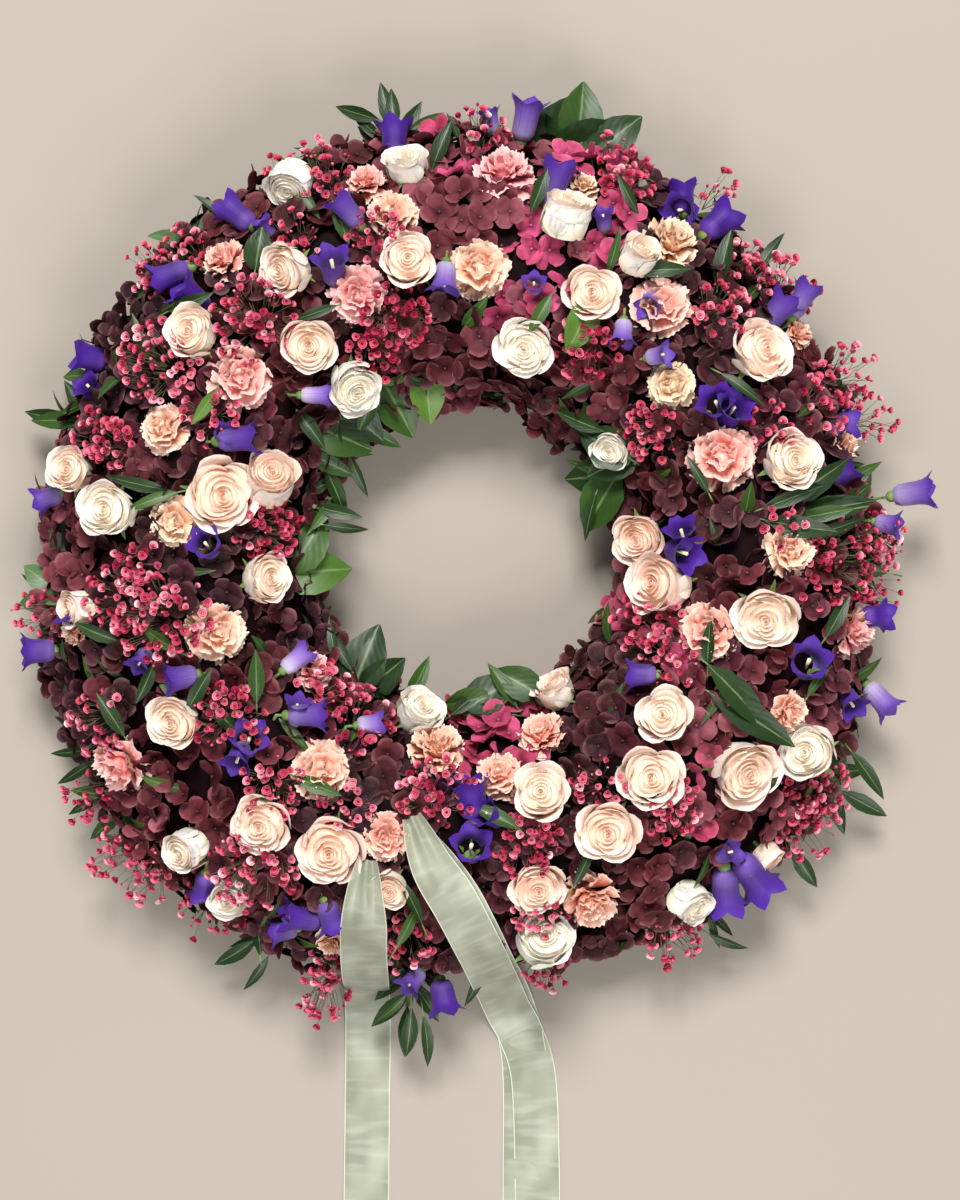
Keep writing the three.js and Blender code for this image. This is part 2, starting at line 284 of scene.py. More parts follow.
def hydrangea_petal_finish():
    """Near-black burgundy, plum, dusty mauve or magenta, with a paler edge, a veined face and painted
    shade towards each floret's middle.
    """
    finish = Finish("hydrangea_petal", 0.6, subsurface=0.04, specular=0.2)
    along = finish.over("Y")
    tint = finish.attribute("tint")
    stops = [
        (0, "#220509"), (0.25, "#3e090f"), (0.5, "#5e151f"), (0.72, "#7e3a46"),
        (0.84, "#9e5866"), (0.92, "#bc3662"), (1, "#cf5080"),
    ]
    body = finish.ramp(tint, stops)
    plum = finish.mix(finish.reach(tint, 0.88, 0.6, 0.5), body, "#4a1c40")
    body = finish.mix(finish.reach(finish.noise(16, 1), 0.48, 0.62, 0.55), body, plum)
    edge = finish.mix(0.3, body, "#d0949a")
    streaks = finish.noise(6, 2, stretch=(8, 1.5))
    body = finish.mix(finish.reach(streaks, 0.4, 0.75, 0.4), body, edge)
    colour = finish.mix(finish.reach(along, 0.72, 1.0, 0.8), body, edge)
    # Painted shade: each petal darkens to near black towards its foot, in the floret's middle under the
    # overlapping petals.
    colour = finish.mix(finish.reach(along, 0.45, 0.0, 0.75), colour, "#18060d")
    colour = finish.mix(finish.reach(finish.noise(70, 3), 0.35, 0.7, 0.75), colour, "#985c5c", "MULTIPLY")
    finish.bump(streaks, 0.4, 0.0008)
    return finish.done(colour)


def gypsophila_finish():
    """Raspberry cups with pale pink rims."""
    finish = Finish("gypsophila_blossom", 0.7, subsurface=0.08, specular=0.3)
    along = finish.over("Y")
    tint = finish.attribute("tint")
    body = finish.ramp(tint, [(0, "#8c0c32"), (0.4, "#bc1a4a"), (0.8, "#d84470"), (1, "#ea86a0")])
    rim = finish.ramp(tint, [(0, "#bc2850"), (0.4, "#e8748e"), (0.8, "#f8bcc8"), (1, "#fde8ea")])
    colour = finish.mix(finish.reach(along, 0.35, 0.95), body, rim)
    colour = finish.mix(finish.reach(finish.noise(400, 2), 0.35, 0.7, 0.3), colour, "#e0a0ac", "MULTIPLY")
    return finish.done(colour)


def bell_petal_finish():
    """Violet-blue, washed out to lilac and white towards the foot of a pale bell, with fine veins."""
    finish = Finish("bellflower_petal", 0.52, subsurface=0.08, sheen=0.06, specular=0.25)
    pale = finish.attribute("tint")
    height = finish.attribute("rise")
    deep = finish.ramp(height, [(0, "#6a3ea4"), (0.35, "#3a0f76"), (1, "#4c1e92")])
    washed = finish.ramp(height, [(0, "#e4e0e4"), (0.5, "#a888cc"), (1, "#6038ac")])
    colour = finish.mix(pale, deep, washed)
    veins = finish.noise(9, 1, stretch=(10, 0.4))
    colour = finish.mix(finish.reach(veins, 0.42, 0.62, 0.35), colour, "#8a7ad0", "MULTIPLY")
    finish.bump(veins, 0.3, 0.001)
    return finish.done(colour)


def leaf_finish():
    """Glossy green, from deep ruscus to grey-green eucalyptus, with a paler rib and side veins."""
    finish = Finish("leaf_green", 0.42, subsurface=0.03, specular=0.35)
    tint = finish.attribute("tint")
    body = finish.ramp(tint, [(0, "#18310e"), (0.35, "#2e4c18"), (0.65, "#587c2a"), (1, "#5c7856")])
    wave = finish.node("TexWave", wave_type="BANDS", bands_direction="DIAGONAL")
    wave.inputs["Scale"].default_value = 3.5
    wave.inputs["Distortion"].default_value = 0.6
    finish.link(finish.node("TexCoord").outputs["UV"], wave.inputs["Vector"])
    colour = finish.mix(finish.reach(wave.outputs["Fac"], 0.5, 1.0, 0.12), body, "#7f9468", "SOFT_LIGHT")
    colour = finish.mix(finish.reach(finish.off_middle(), 0.05, 0.0, 0.45), colour, "#9db27c")
    colour = finish.mix(finish.reach(finish.noise(60, 3), 0.3, 0.75, 0.4), colour, "#a0b490", "MULTIPLY")
    finish.bump(wave.outputs["Fac"], 0.08, 0.0008)
    return finish.done(colour)


def stalk_finish(name, colours, specular=0.3):
    finish = Finish(name, 0.6, specular=specular)
    colour = finish.ramp(finish.noise(70, 3), [(0.3, colours[0]), (0.7, colours[1])])
    finish.bump(finish.noise(600, 2), 0.3, 0.0004)
    return finish.done(colour)


def organza_finish():
    """Sheer silvery green cloth: fine crossed threads, soft painted bands of light, painted highlights
    along fine creases, close-woven edges.
    """
    finish = Finish("organza", 0.38, sheen=0.4, specular=0.5)
    edge = finish.reach(finish.off_middle(), 0.474, 0.484)
    threads = finish.noise(40, 1, stretch=(16, 0.4))
    bands = finish.noise(2, 1, stretch=(0.7, 5))
    # Painted light: the cloth is lighter in soft bands.
    colour = finish.mix(finish.reach(bands, 0.35, 0.7), "#90947e", "#afb39e")
    crease_highlights = finish.noise(4, 1, stretch=(0.25, 15))
    # Painted highlights: lighter lines along the fine creases.
    colour = finish.mix(finish.reach(crease_highlights, 0.5, 0.7, 0.28), colour, "#cdd1c3")
    colour = finish.mix(edge, colour, "#ccd1bd")
    finish.bump(threads, 0.1, 0.0003)
    cover = finish.mix(finish.reach(threads, 0.3, 0.7), "#e0e0e0", "#ececec")
    cover = finish.mix(finish.reach(bands, 0.3, 0.75, 0.6), cover, "#f6f6f6")
    cover = finish.mix(edge, cover, "#fafafa")
    finish.link(cover, finish.shader.inputs["Alpha"])
    return finish.done(colour)


def foam_finish():
    """Wet floral foam: dull green with fine cells."""
    finish = Finish("floral_foam", 0.95, specular=0.15)
    cells = finish.node("TexVoronoi")
    cells.inputs["Scale"].default_value = 900
    finish.link(finish.node("TexCoord").outputs["Object"], cells.inputs["Vector"])
    finish.bump(cells.outputs["Distance"], 0.6, 0.0006)
    return finish.done(finish.ramp(finish.noise(40, 4), [(0.3, "#1f3a24"), (0.7, "#31553a")]))


def tray_finish():
    """Dark green moulded plastic with a fine grain."""
    finish = Finish("tray_plastic", 0.45, specular=0.5)
    finish.bump(finish.noise(1800, 2), 0.15, 0.0002)
    return finish.done(finish.ramp(finish.noise(25, 3), [(0.3, "#16261a"), (0.7, "#1e3323")]))


def floor_finish():
    finish = Finish("floor", 0.85, specular=0.1)
    return finish.done(finish.ramp(finish.noise(1.2, 2), [(0.3, "#a29a8f"), (0.7, "#a69e93")]))


ROSE_PETAL = rose_petal_finish()
CARNATION_PETAL = carnation_petal_finish()
HYDRANGEA_PETAL = hydrangea_petal_finish()
GYPSOPHILA = gypsophila_finish()
BELL_PETAL = bell_petal_finish()
LEAF = leaf_finish()
GREEN_STALK = stalk_finish("green_stalk", ("#4f6a34", "#7d9455"))
THIN_STALK = stalk_finish("thin_stalk", ("#5c5a40", "#7f7a58"))
STYLE = stalk_finish("bell_style", ("#e9e3b4", "#f4f0d0"))
# Near black: painted shade for the depths of the bed under the florets.
PAINTED_SHADE_BED = stalk_finish("hydrangea_painted_shade_bed", ("#0a0205", "#1a070b"), 0.05)
ORGANZA = organza_finish()


# ---------------------------------------------------------------- modelling by hand

def deselect():
    bpy.ops.object.select_all(action="DESELECT")


def activate(piece):
    deselect()
    piece.select_set(True)
    bpy.context.view_layer.objects.active = piece


def editing(piece):
    activate(piece)
    bpy.ops.object.mode_set(mode="EDIT")


def edited():
    bpy.ops.object.mode_set(mode="OBJECT")


def pick(test):
    """In edit mode, selects the vertices whose places pass a test."""
    shape = bmesh.from_edit_mesh(bpy.context.object.data)
    for vertex in shape.verts:
        vertex.select_set(test(vertex.co))
    shape.select_flush_mode()
    bmesh.update_edit_mesh(bpy.context.object.data)


def move(test, by):
    pick(test)
    bpy.ops.transform.translate(value=by)


def resize(test, by, about=(0, 0, 0)):
    pick(test)
    bpy.ops.transform.resize(value=by, center_override=about)


def placed(piece, *moves):
    """Moves a piece's mesh by one matrix after another."""
    for matrix in moves:
        piece.data.transform(matrix)
    return piece


def copied(model, *moves):
    """A copy with its own mesh."""
    piece = model.copy()
    piece.data = model.data.copy()
    bpy.context.scene.collection.objects.link(piece)
    return placed(piece, *moves)


def mark(piece, **values):
    """Writes numbers on every vertex, for the materials to read."""
    for name, value in values.items():
        layer = piece.data.attributes.get(name) or piece.data.attributes.new(name, "FLOAT", "POINT")
        layer.data.foreach_set("value", [value] * len(piece.data.vertices))
    return piece


def finished(piece, name, material):
    piece.name = name
    piece.data.name = name
    piece.data.materials.clear()
    piece.data.materials.append(material)
    activate(piece)
    bpy.ops.object.shade_smooth()
    return piece


def joined(name, parts):
    """Several pieces, each with its own material, joined into one."""
    deselect()
    for part in parts:
        part.select_set(True)
    bpy.context.view_layer.objects.active = parts[0]
    bpy.ops.object.join()
    parts[0].name = name
    parts[0].data.name = name
    return parts[0]


def removed(*pieces):
    for piece in pieces:
        bpy.data.meshes.remove(piece.data)


def blank(outline, columns, width, height):
    """A flat petal or leaf standing on its foot, its face to -Y: a grid whose rows are narrowed to
    the outline, which gives each row's share of the width, the foot first."""
    rows = len(outline) - 1
    deselect()
    bpy.ops.mesh.primitive_grid_add(
        x_subdivisions=columns, y_subdivisions=rows, size=1,
        location=(0, 0, 0.5), rotation=(math.pi / 2, 0, 0),
    )
    piece = bpy.context.object
    bpy.ops.object.transform_apply()
    bpy.ops.object.mode_set(mode="EDIT")
    for row, share in enumerate(outline):
        resize(lambda co: abs(co.z - row / rows) < 0.25 / rows, (share * width, 1, 1))
    resize(lambda co: True, (1, 1, height))
    edited()
    return piece


def bend(piece, axis, degrees, start=0.0):
    """Bends a standing piece: about X over its height above start, or about Z round its width."""
    if not degrees:
        return
    activate(piece)
    placed(piece, moved((0, 0, -start)))
    heights = [v.co.z for v in piece.data.vertices]
    modifier = piece.modifiers.new("bend", "SIMPLE_DEFORM")
    modifier.deform_method = "BEND"
    modifier.deform_axis = axis
    modifier.angle = math.radians(degrees)
    if axis == "X":
        low, high = min(heights), max(heights)
        modifier.limits = (max(0.0, -low / (high - low)), 1)
    bpy.ops.object.modifier_apply(modifier=modifier.name)
    placed(piece, moved((0, 0, start)))


def arched(piece, drop):
    """Rounds a standing petal's top: its sides sink by a share of its height."""
    half = max(v.co.x for v in piece.data.vertices)
    for vertex in piece.data.vertices:
        vertex.co.z *= 1 - drop * (vertex.co.x / half) ** 2


def spread_of(piece):
    return max(math.hypot(v.co.x, v.co.y) for v in piece.data.vertices)


# ---------------------------------------------------------------- roses

ROSE_OUTLINE = (0.45, 0.8, 0.96, 1.0, 1.0, 0.97, 0.9)
# Whorls from the heart out: petals, foot radius, height, wrap, lean, cup and lip, in degrees, the
# lengths in shares of half the head's width.
ROSE_WHORLS = (
    (1, 0.03, 0.98, 300, -2, 0, 0),
    (2, 0.07, 1.00, 225, -2, 0, 4),
    (2, 0.12, 1.01, 215, 1, 2, 10),
    (3, 0.18, 1.01, 170, 4, 5, 16),
    (3, 0.25, 1.01, 162, 8, 10, 28),
    (3, 0.33, 1.00, 156, 16, 18, 46),
    (4, 0.39, 0.98, 138, 28, 30, 62),
    (5, 0.42, 0.98, 118, 40, 38, 78),
)
ROSE_FOOT = -0.6


def model_rose(name, seed, opened):
    """A rose on +Z: its whorls lean out by their share of opened."""
    rng = random.Random(seed)
    parts = []
    for whorl, (petals, foot, height, wrap, lean, cup, lip) in enumerate(ROSE_WHORLS):
        lean *= opened
        cup *= 0.5 + 0.5 * opened
        reach = foot + 0.62 * height * math.sin(math.radians(max(0, lean)))
        outer = whorl / (len(ROSE_WHORLS) - 1)
        for i in range(petals):
            petal = blank(ROSE_OUTLINE, 10, max(0.25, reach * math.radians(wrap)), height)
            arched(petal, 0.06 + 0.09 * outer)
            editing(petal)
            peak = rng.uniform(-0.1, 0.1)
            move(lambda co: co.z > 0.97 * height and abs(co.x - peak) < 0.12, (0, 0, 0.025 * outer))
            pick(lambda co: co.z > 0.6 * height)
            bpy.ops.transform.vertex_random(offset=0.008 * outer, seed=rng.randrange(999))
            edited()
            bend(petal, "X", -lip * (0.35 + 0.65 * opened) * rng.uniform(0.7, 1.2), start=0.64 * height)
            bend(petal, "X", cup)
            bend(petal, "Z", wrap)
            turn = 2 * math.pi * i / petals + 2.4 * whorl + rng.uniform(-0.2, 0.2)
            tilt = math.radians(lean + rng.uniform(-4, 4) * outer)
            placed(
                petal,
                Matrix.Rotation(rng.uniform(-0.2, 0.2) * outer, 4, "Z"),
                Matrix.Rotation(tilt, 4, "X"),
                moved((0, -foot, ROSE_FOOT)),
                Matrix.Rotation(turn, 4, "Z"),
            )
            parts.append(mark(petal, heart=1 - outer))
    parts.append(mark(model_core(0.4 + 0.28 * opened, -0.05, ROSE_FOOT, 0.3), heart=0.9))
    rose = joined(name, parts)
    width = 1.06 / spread_of(rose)
    rise = math.sqrt(width)
    placed(
        rose, moved((0, 0, -ROSE_FOOT)), Matrix.Diagonal((width, width, rise, 1)),
        moved((0, 0, ROSE_FOOT)),
    )
    return finished(rose, name, ROSE_PETAL)


def model_core(radius, middle_height, foot, crown):
    """The close-packed inside of a bloom, between its petals: a goblet with a domed top."""
    deselect()
    bpy.ops.mesh.primitive_uv_sphere_add(segments=16, ring_count=10, radius=radius)
    core = bpy.context.object
    editing(core)
    rise = (crown - middle_height) / radius
    fall = (middle_height - foot) / radius
    resize(lambda co: co.z > 0.01, (1, 1, rise))
    resize(lambda co: co.z < -0.01, (0.82, 0.82, fall))
    resize(lambda co: co.z < -0.6 * radius * fall, (0.82, 0.82, 1))
    edited()
    return placed(core, moved((0, 0, middle_height)))


def model_calyx(name, radius, depth, sepals, spread):
    """A green cup with its sepals, its rim at the height of a bloom's foot."""
    deselect()
    bpy.ops.mesh.primitive_uv_sphere_add(
        segments=8, ring_count=6, radius=radius, location=(0, 0, ROSE_FOOT)
    )
    cup = bpy.context.object
    bpy.ops.object.transform_apply()
    editing(cup)
    resize(lambda co: True, (1, 1, depth), (0, 0, ROSE_FOOT))
    edited()
    sepal = blank((0.8, 1.0, 0.6, 0.1), 2, 0.7 * radius, 2.2 * radius)
    bend(sepal, "X", -40)
    parts = [cup]
    for i in range(sepals):
        around = Matrix.Rotation(2 * math.pi * i / sepals, 4, "Z")
        tilt = Matrix.Rotation(math.radians(spread), 4, "X")
        parts.append(copied(sepal, tilt, moved((0, -0.75 * radius, ROSE_FOOT + 0.02)), around))
    removed(sepal)
    return finished(joined(name, parts), name, GREEN_STALK)


# ---------------------------------------------------------------- carnations

CARNATION_OUTLINE = (0.16, 0.3, 0.62, 0.9, 1.0, 1.02)
CARNATION_COLUMNS = 10
# Whorls: petals, foot radius, height, lean in degrees, width.
CARNATION_WHORLS = (
    (3, 0.03, 0.92, 8, 0.6),
    (5, 0.05, 0.98, 21, 0.85),
    (6, 0.07, 1.0, 37, 1.0),
    (6, 0.09, 1.04, 53, 1.15),
    (7, 0.10, 1.06, 69, 1.2),
    (6, 0.10, 1.06, 85, 1.25),
)


def model_carnation_petal(rng, ruffle):
    """A fan with a narrow claw, a toothed edge, and ruffles that deepen towards it."""
    petal = blank(CARNATION_OUTLINE, CARNATION_COLUMNS, 0.82, 1.0)
    editing(petal)
    phase = rng.uniform(0, 6)
    for i in range(CARNATION_COLUMNS + 1):
        x = i / CARNATION_COLUMNS - 0.5
        fold = ruffle * (1 if i % 2 else -1) * rng.uniform(0.4, 1.2) + 0.12 * math.sin(0.75 * i + phase)
        for z, share, width in ((1.0, 1.0, 1.02), (0.8, 0.7, 1.0), (0.6, 0.35, 0.9)):
            here = 0.82 * width * x
            move(lambda co: abs(co.z - z) < 0.06 and abs(co.x - here) < 0.02, (0, fold * share, 0))
        tooth = 0.1 - 0.6 * x * x + (0.022 if i % 2 else -0.022) + rng.uniform(-0.025, 0.025)
        move(lambda co: abs(co.z - 1) < 0.001 and abs(co.x - 0.82 * 1.02 * x) < 0.02, (0, 0, tooth))
    edited()
    bend(petal, "X", -30, start=0.5)
    bend(petal, "Z", 36)
    return petal


def model_carnation(name, seed):
    rng = random.Random(seed)
    petals = [model_carnation_petal(rng, ruffle) for ruffle in (0.03, 0.04, 0.05, 0.065)]
    parts = []
    for whorl, (count, foot, height, lean, size) in enumerate(CARNATION_WHORLS):
        for i in range(count):
            turn = 2 * math.pi * i / count + 2.4 * whorl + rng.uniform(-0.22, 0.22)
            part = copied(
                rng.choice(petals),
                Matrix.Diagonal((size * rng.uniform(0.85, 1.1), 1, height * rng.uniform(0.9, 1.06), 1)),
                Matrix.Rotation(rng.uniform(-0.3, 0.3), 4, "Z"),
                Matrix.Rotation(math.radians(lean + rng.uniform(-10, 10)), 4, "X"),
                moved((0, -foot, -0.55)), Matrix.Rotation(turn, 4, "Z"),
            )
            parts.append(part)
    removed(*petals)
    carnation = joined(name, [*parts, model_core(0.5, -0.2, -0.6, 0.16)])
    placed(carnation, Matrix.Diagonal((1 / spread_of(carnation), 1 / spread_of(carnation), 0.9, 1)))
    return finished(carnation, name, CARNATION_PETAL)


# ---------------------------------------------------------------- hydrangea and gypsophila

def model_floret(name, seed, cup):
    """Four round, overlapping petals about a small bead."""
    rng = random.Random(seed)
    petal = blank((0.35, 0.92, 1.0, 0.84), 4, 1.02, 1.0)
    arched(petal, 0.3)
    editing(petal)
    move(lambda co: abs(co.x) < 0.1 and 0.2 < co.z < 0.95, (0, 0.07, 0))
    pick(lambda co: co.z > 0.3)
    bpy.ops.transform.vertex_random(offset=0.05, seed=seed)
    edited()
    bend(petal, "X", cup)
    parts = []
    for i in range(4):
        tilt = Matrix.Rotation(math.radians(80 - 6 * (i % 2) + rng.uniform(-6, 6)), 4, "X")
        turn = Matrix.Rotation(i * math.pi / 2 + rng.uniform(-0.12, 0.12), 4, "Z")
        parts.append(copied(petal, sized(rng.uniform(0.82, 1.08)), tilt, moved((0, -0.03, 0)), turn))
    removed(petal)
    deselect()
    bpy.ops.mesh.primitive_uv_sphere_add(segments=5, ring_count=3, radius=0.1, location=(0, 0, 0.06))
    bead = bpy.context.object
    bpy.ops.object.transform_apply()
    return finished(joined(name, [*parts, bead]), name, HYDRANGEA_PETAL)


def model_blossom(name, points, cups):
    """A tiny double flower: frilled cups, one in another. cups: radius, depth, foot, spin."""
    parts = []
    for radius, depth, foot, spin in cups:
        deselect()
        bpy.ops.mesh.primitive_cone_add(
            vertices=2 * points, radius1=0.3 * radius, radius2=radius, depth=depth,
            end_fill_type="NOTHING", location=(0, 0, foot + depth / 2),
        )
        cup = bpy.context.object
        bpy.ops.object.transform_apply()
        editing(cup)
        step = math.pi / points
        resize(
            lambda co: co.z > foot + 0.5 * depth and round(math.atan2(co.y, co.x) / step) % 2 == 0,
            (0.86, 0.86, 1),
        )
        pick(lambda co: co.z > foot + 0.5 * depth and co.xy.length < 0.94 * radius)
        bpy.ops.transform.translate(value=(0, 0, 0.22 * radius))
        edited()
        parts.append(placed(cup, Matrix.Rotation(spin, 4, "Z")))
    return finished(joined(name, parts), name, GYPSOPHILA)


def model_bud(name):
    """A closed bud: a bead drawn out towards its foot."""
    deselect()
    bpy.ops.mesh.primitive_uv_sphere_add(segments=6, ring_count=4, radius=0.55, location=(0, 0, 0.35))
    bud = bpy.context.object
    bpy.ops.object.transform_apply()
    editing(bud)
    move(lambda co: co.z < 0, (0, 0, -0.3))
    edited()
    return finished(bud, name, GYPSOPHILA)


# ---------------------------------------------------------------- bellflowers

# The bell from its foot to its mouth: radius and height, in shares of half the mouth's width.
BELL_PROFILE = (
    (0.2, 0.0), (0.5, 0.09), (0.66, 0.35), (0.69, 0.75), (0.7, 1.15), (0.76, 1.45), (0.88, 1.68),
    (1.04, 1.82),
)
BELL_SIDES = 20
LOBES = 5


def model_bell(name, depth=1.0):
    """A bell opening to +Z: rings drawn up from its foot, the rim shaped into five pointed lobes."""
    radius, height = BELL_PROFILE[0]
    deselect()
    bpy.ops.mesh.primitive_circle_add(vertices=BELL_SIDES, radius=radius, fill_type="TRIFAN")
    bell = bpy.context.object
    editing(bell)
    bpy.ops.mesh.select_all(action="SELECT")
    bpy.ops.mesh.region_to_loop()
    for (r0, z0), (r1, z1) in zip(BELL_PROFILE, BELL_PROFILE[1:]):
        bpy.ops.mesh.extrude_edges_move(TRANSFORM_OT_translate={"value": (0, 0, z1 - z0)})
        bpy.ops.transform.resize(value=(r1 / r0, r1 / r0, 1), center_override=(0, 0, z1))
    bpy.ops.mesh.select_mode(type="VERT")
    lobe = 2 * math.pi / LOBES
    step = 2 * math.pi / BELL_SIDES
    for row, rise, flare in ((7, 0.2, 0.2), (6, 0.09, 0.06), (5, 0.03, 0.0)):
        ring = BELL_PROFILE[row][1]
        for part, share in ((0, 1), (1, 0.2), (2, -0.6)):
            def in_part(co):
                away = abs((math.atan2(co.y, co.x) + lobe / 2) % lobe - lobe / 2)
                return abs(co.z - ring) < 0.002 and abs(away - part * step) < 0.1 * step
            resize(in_part, (1 + flare * share, 1 + flare * share, 1), (0, 0, ring))
            bpy.ops.transform.translate(value=(0, 0, rise * share + 0.003))
    bpy.ops.mesh.select_all(action="SELECT")
    bpy.ops.mesh.normals_make_consistent(inside=False)
    edited()
    rise = bell.data.attributes.new("rise", "FLOAT", "POINT")
    top = max(v.co.z for v in bell.data.vertices)
    rise.data.foreach_set("value", [v.co.z / top for v in bell.data.vertices])
    finished(bell, "bell", BELL_PETAL)
    deselect()
    bpy.ops.mesh.primitive_cylinder_add(vertices=6, radius=0.05, depth=1.6, location=(0, 0, 0.8))
    style = bpy.context.object
    bpy.ops.object.transform_apply()
    editing(style)
    resize(lambda co: co.z > 1.5, (2.2, 2.2, 1))
    edited()
    calyx = model_calyx("calyx", 0.36, 0.8, 5, 14)
    parts = [bell, finished(style, "style", STYLE), placed(calyx, moved((0, 0, -ROSE_FOOT - 0.05)))]
    return placed(joined(name, parts), Matrix.Diagonal((1, 1, depth, 1)))


# ---------------------------------------------------------------- leaves and stalks

def model_leaf(name, outline, width, columns, fold, droop, wave, seed):
    """A leaf standing on its foot, one unit long, folded along its rib and drooping at the tip."""
    rng = random.Random(seed)
    leaf = blank(outline, columns, width, 1.0)
    editing(leaf)
    rows = len(outline) - 1
    for row in range(1, rows):
        for column in range(columns + 1):
            x = (column / columns - 0.5) * outline[row] * width
            lift = -fold * abs(x) + wave * rng.uniform(-1, 1)
            move(lambda co: abs(co.z - row / rows) < 0.25 / rows and abs(co.x - x) < 0.01, (0, lift, 0))
    edited()
    bend(leaf, "X", droop)
    return finished(leaf, name, LEAF)


def model_stalk(name, sides, tip, material):
    """A stalk one unit long and thick, tapering to its tip."""
    deselect()
    bpy.ops.mesh.primitive_cone_add(
        vertices=sides, radius1=0.5, radius2=0.5 * tip, depth=1, location=(0, 0, 0.5), end_fill_type="NGON"
    )
    stalk = bpy.context.object
    bpy.ops.object.transform_apply()
    return finished(stalk, name, material)


ROSE_MODELS = {
    opened: [model_rose("rose_model", seed, opened) for seed in seeds]
    for opened, seeds in ((0.3, (1, 2)), (0.65, (3, 4)), (1.0, (5, 6)))
}
ROSE_CALYX = model_calyx("rose_calyx_model", 0.34, 0.6, 5, 60)
CARNATION_MODELS = [model_carnation("carnation_model", seed) for seed in (11, 12, 13)]
CARNATION_CALYX = model_calyx("carnation_calyx_model", 0.24, 1.4, 5, 12)
FLORETS = [
    model_floret("floret_model", seed, cup)
    for seed, cup in ((21, 25), (22, 55), (23, 5), (24, 38), (25, -14))
]
OPEN_BLOSSOM = model_blossom("blossom_model", 5, ((1.0, 0.75, 0.0, 0.0), (0.62, 0.6, 0.22, 0.3)))
FULL_BLOSSOM = model_blossom("full_blossom_model", 5, ((0.9, 0.9, 0.0, 0.0), (0.55, 0.7, 0.3, 0.4)))
BUD = model_bud("bud_model")
BELL = model_bell("bell_model")
SHORT_BELL = model_bell("short_bell_model", 0.82)
LONG_BELL = model_bell("long_bell_model", 1.25)
SLENDER_LEAF = model_leaf(
    "slender_leaf_model", (0.1, 0.75, 1.0, 0.85, 0.5, 0.04), 0.22, 2, 0.3, 35, 0.0, 31
)
RUSCUS_LEAF = model_leaf(
    "ruscus_leaf_model", (0.08, 0.7, 1.0, 0.9, 0.55, 0.03), 0.31, 4, 0.3, 28, 0.006, 32
)
BROAD_LEAF = model_leaf("broad_leaf_model", (0.3, 0.9, 1.0, 0.85, 0.5, 0.05), 0.66, 6, 0.2, 30, 0.02, 33)
STALK = model_stalk("stalk_model", 6, 0.8, GREEN_STALK)
FINE_STALK = model_stalk("fine_stalk_model", 3, 0.6, THIN_STALK)


# ---------------------------------------------------------------- putting pieces in place

def ride(piece, slot, *nodes):
    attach(piece, "root")
    if nodes:
        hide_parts(*nodes)
    return piece


def stalk(model, start, end, thickness):
    """A stalk from one point to another."""
    length = (end - start).length
    shape = Matrix.Diagonal((thickness * MM, thickness * MM, length, 1))
    return copied(model, shape, aim(end - start), moved(start))


# Roses: x, y, across, blush (0 white, 1 apricot blush), how far open. The first 21 stand for the
# solid roses, in their order.
ROSES = [
    (-48, 312, 40, 0.0, 0.65), (-142, 226, 46, 0.35, 0.65), (-217, 175, 46, 0.4, 0.65),
    (-126, 166, 48, 0.45, 0.65), (101, 207, 48, 0.6, 1.0), (237, 160, 56, 0.5, 1.0),
    (259, 73, 52, 0.35, 0.65), (-284, 34, 50, 0.1, 0.65), (-196, 46, 62, 0.75, 1.0),
    (-162, -21, 44, 0.35, 0.65), (-231, -134, 46, 0.4, 0.65), (158, -26, 56, 0.7, 0.65),
    (240, -51, 56, 0.4, 1.0), (159, -130, 48, 0.55, 1.0), (148, -179, 56, 0.55, 1.0),
    (222, -174, 60, 0.5, 0.65), (277, -162, 50, 0.05, 0.65), (114, -222, 54, 0.7, 1.0),
    (-162, -216, 52, 0.45, 1.0), (-107, -237, 58, 0.7, 1.0), (62, -313, 54, 0.0, 0.65),
    (-141, 301, 40, 0.0, 0.3), (-45, 232, 48, 0.65, 1.0), (-90, 134, 48, 0.05, 0.65),
    (81, 268, 44, 0.15, 0.3), (139, 236, 34, 0.25, 0.3), (48, 165, 50, 0.15, 1.0),
    (118, 84, 34, 0.0, 0.65), (-318, 66, 42, 0.45, 0.65), (-157, 57, 46, 0.65, 0.3),
    (-312, -44, 32, 0.4, 0.3), (-38, -130, 44, 0.05, 0.65), (141, 13, 46, 0.65, 0.65),
    (74, -112, 40, 0.3, 0.65), (61, -192, 50, 0.5, 1.0), (-224, -238, 36, 0.2, 0.3),
    (-192, -278, 36, 0.0, 0.65), (58, -267, 48, 0.65, 1.0), (182, -282, 36, 0.0, 0.3),
    (246, -246, 26, 0.7, 0.3), (-60, -268, 34, 0.4, 0.65),
]
# Roses that lie over on their side: which one, the way it faces, and how far it leans from upright.
LEANING = {
    1: (200, 40), 2: (150, 25), 7: (170, 20), 12: (250, 25), 16: (160, 25), 21: (250, 50), 22: (100, 15),
    24: (75, 62), 25: (60, 45), 28: (150, 25), 29: (70, 35), 35: (210, 40), 31: (60, 50), 36: (260, 30),
    38: (320, 50), 20: (70, 35), 23: (300, 40), 26: (250, 20), 27: (230, 30), 32: (220, 25), 17: (250, 10),
}
SOLID_ROSES = 21

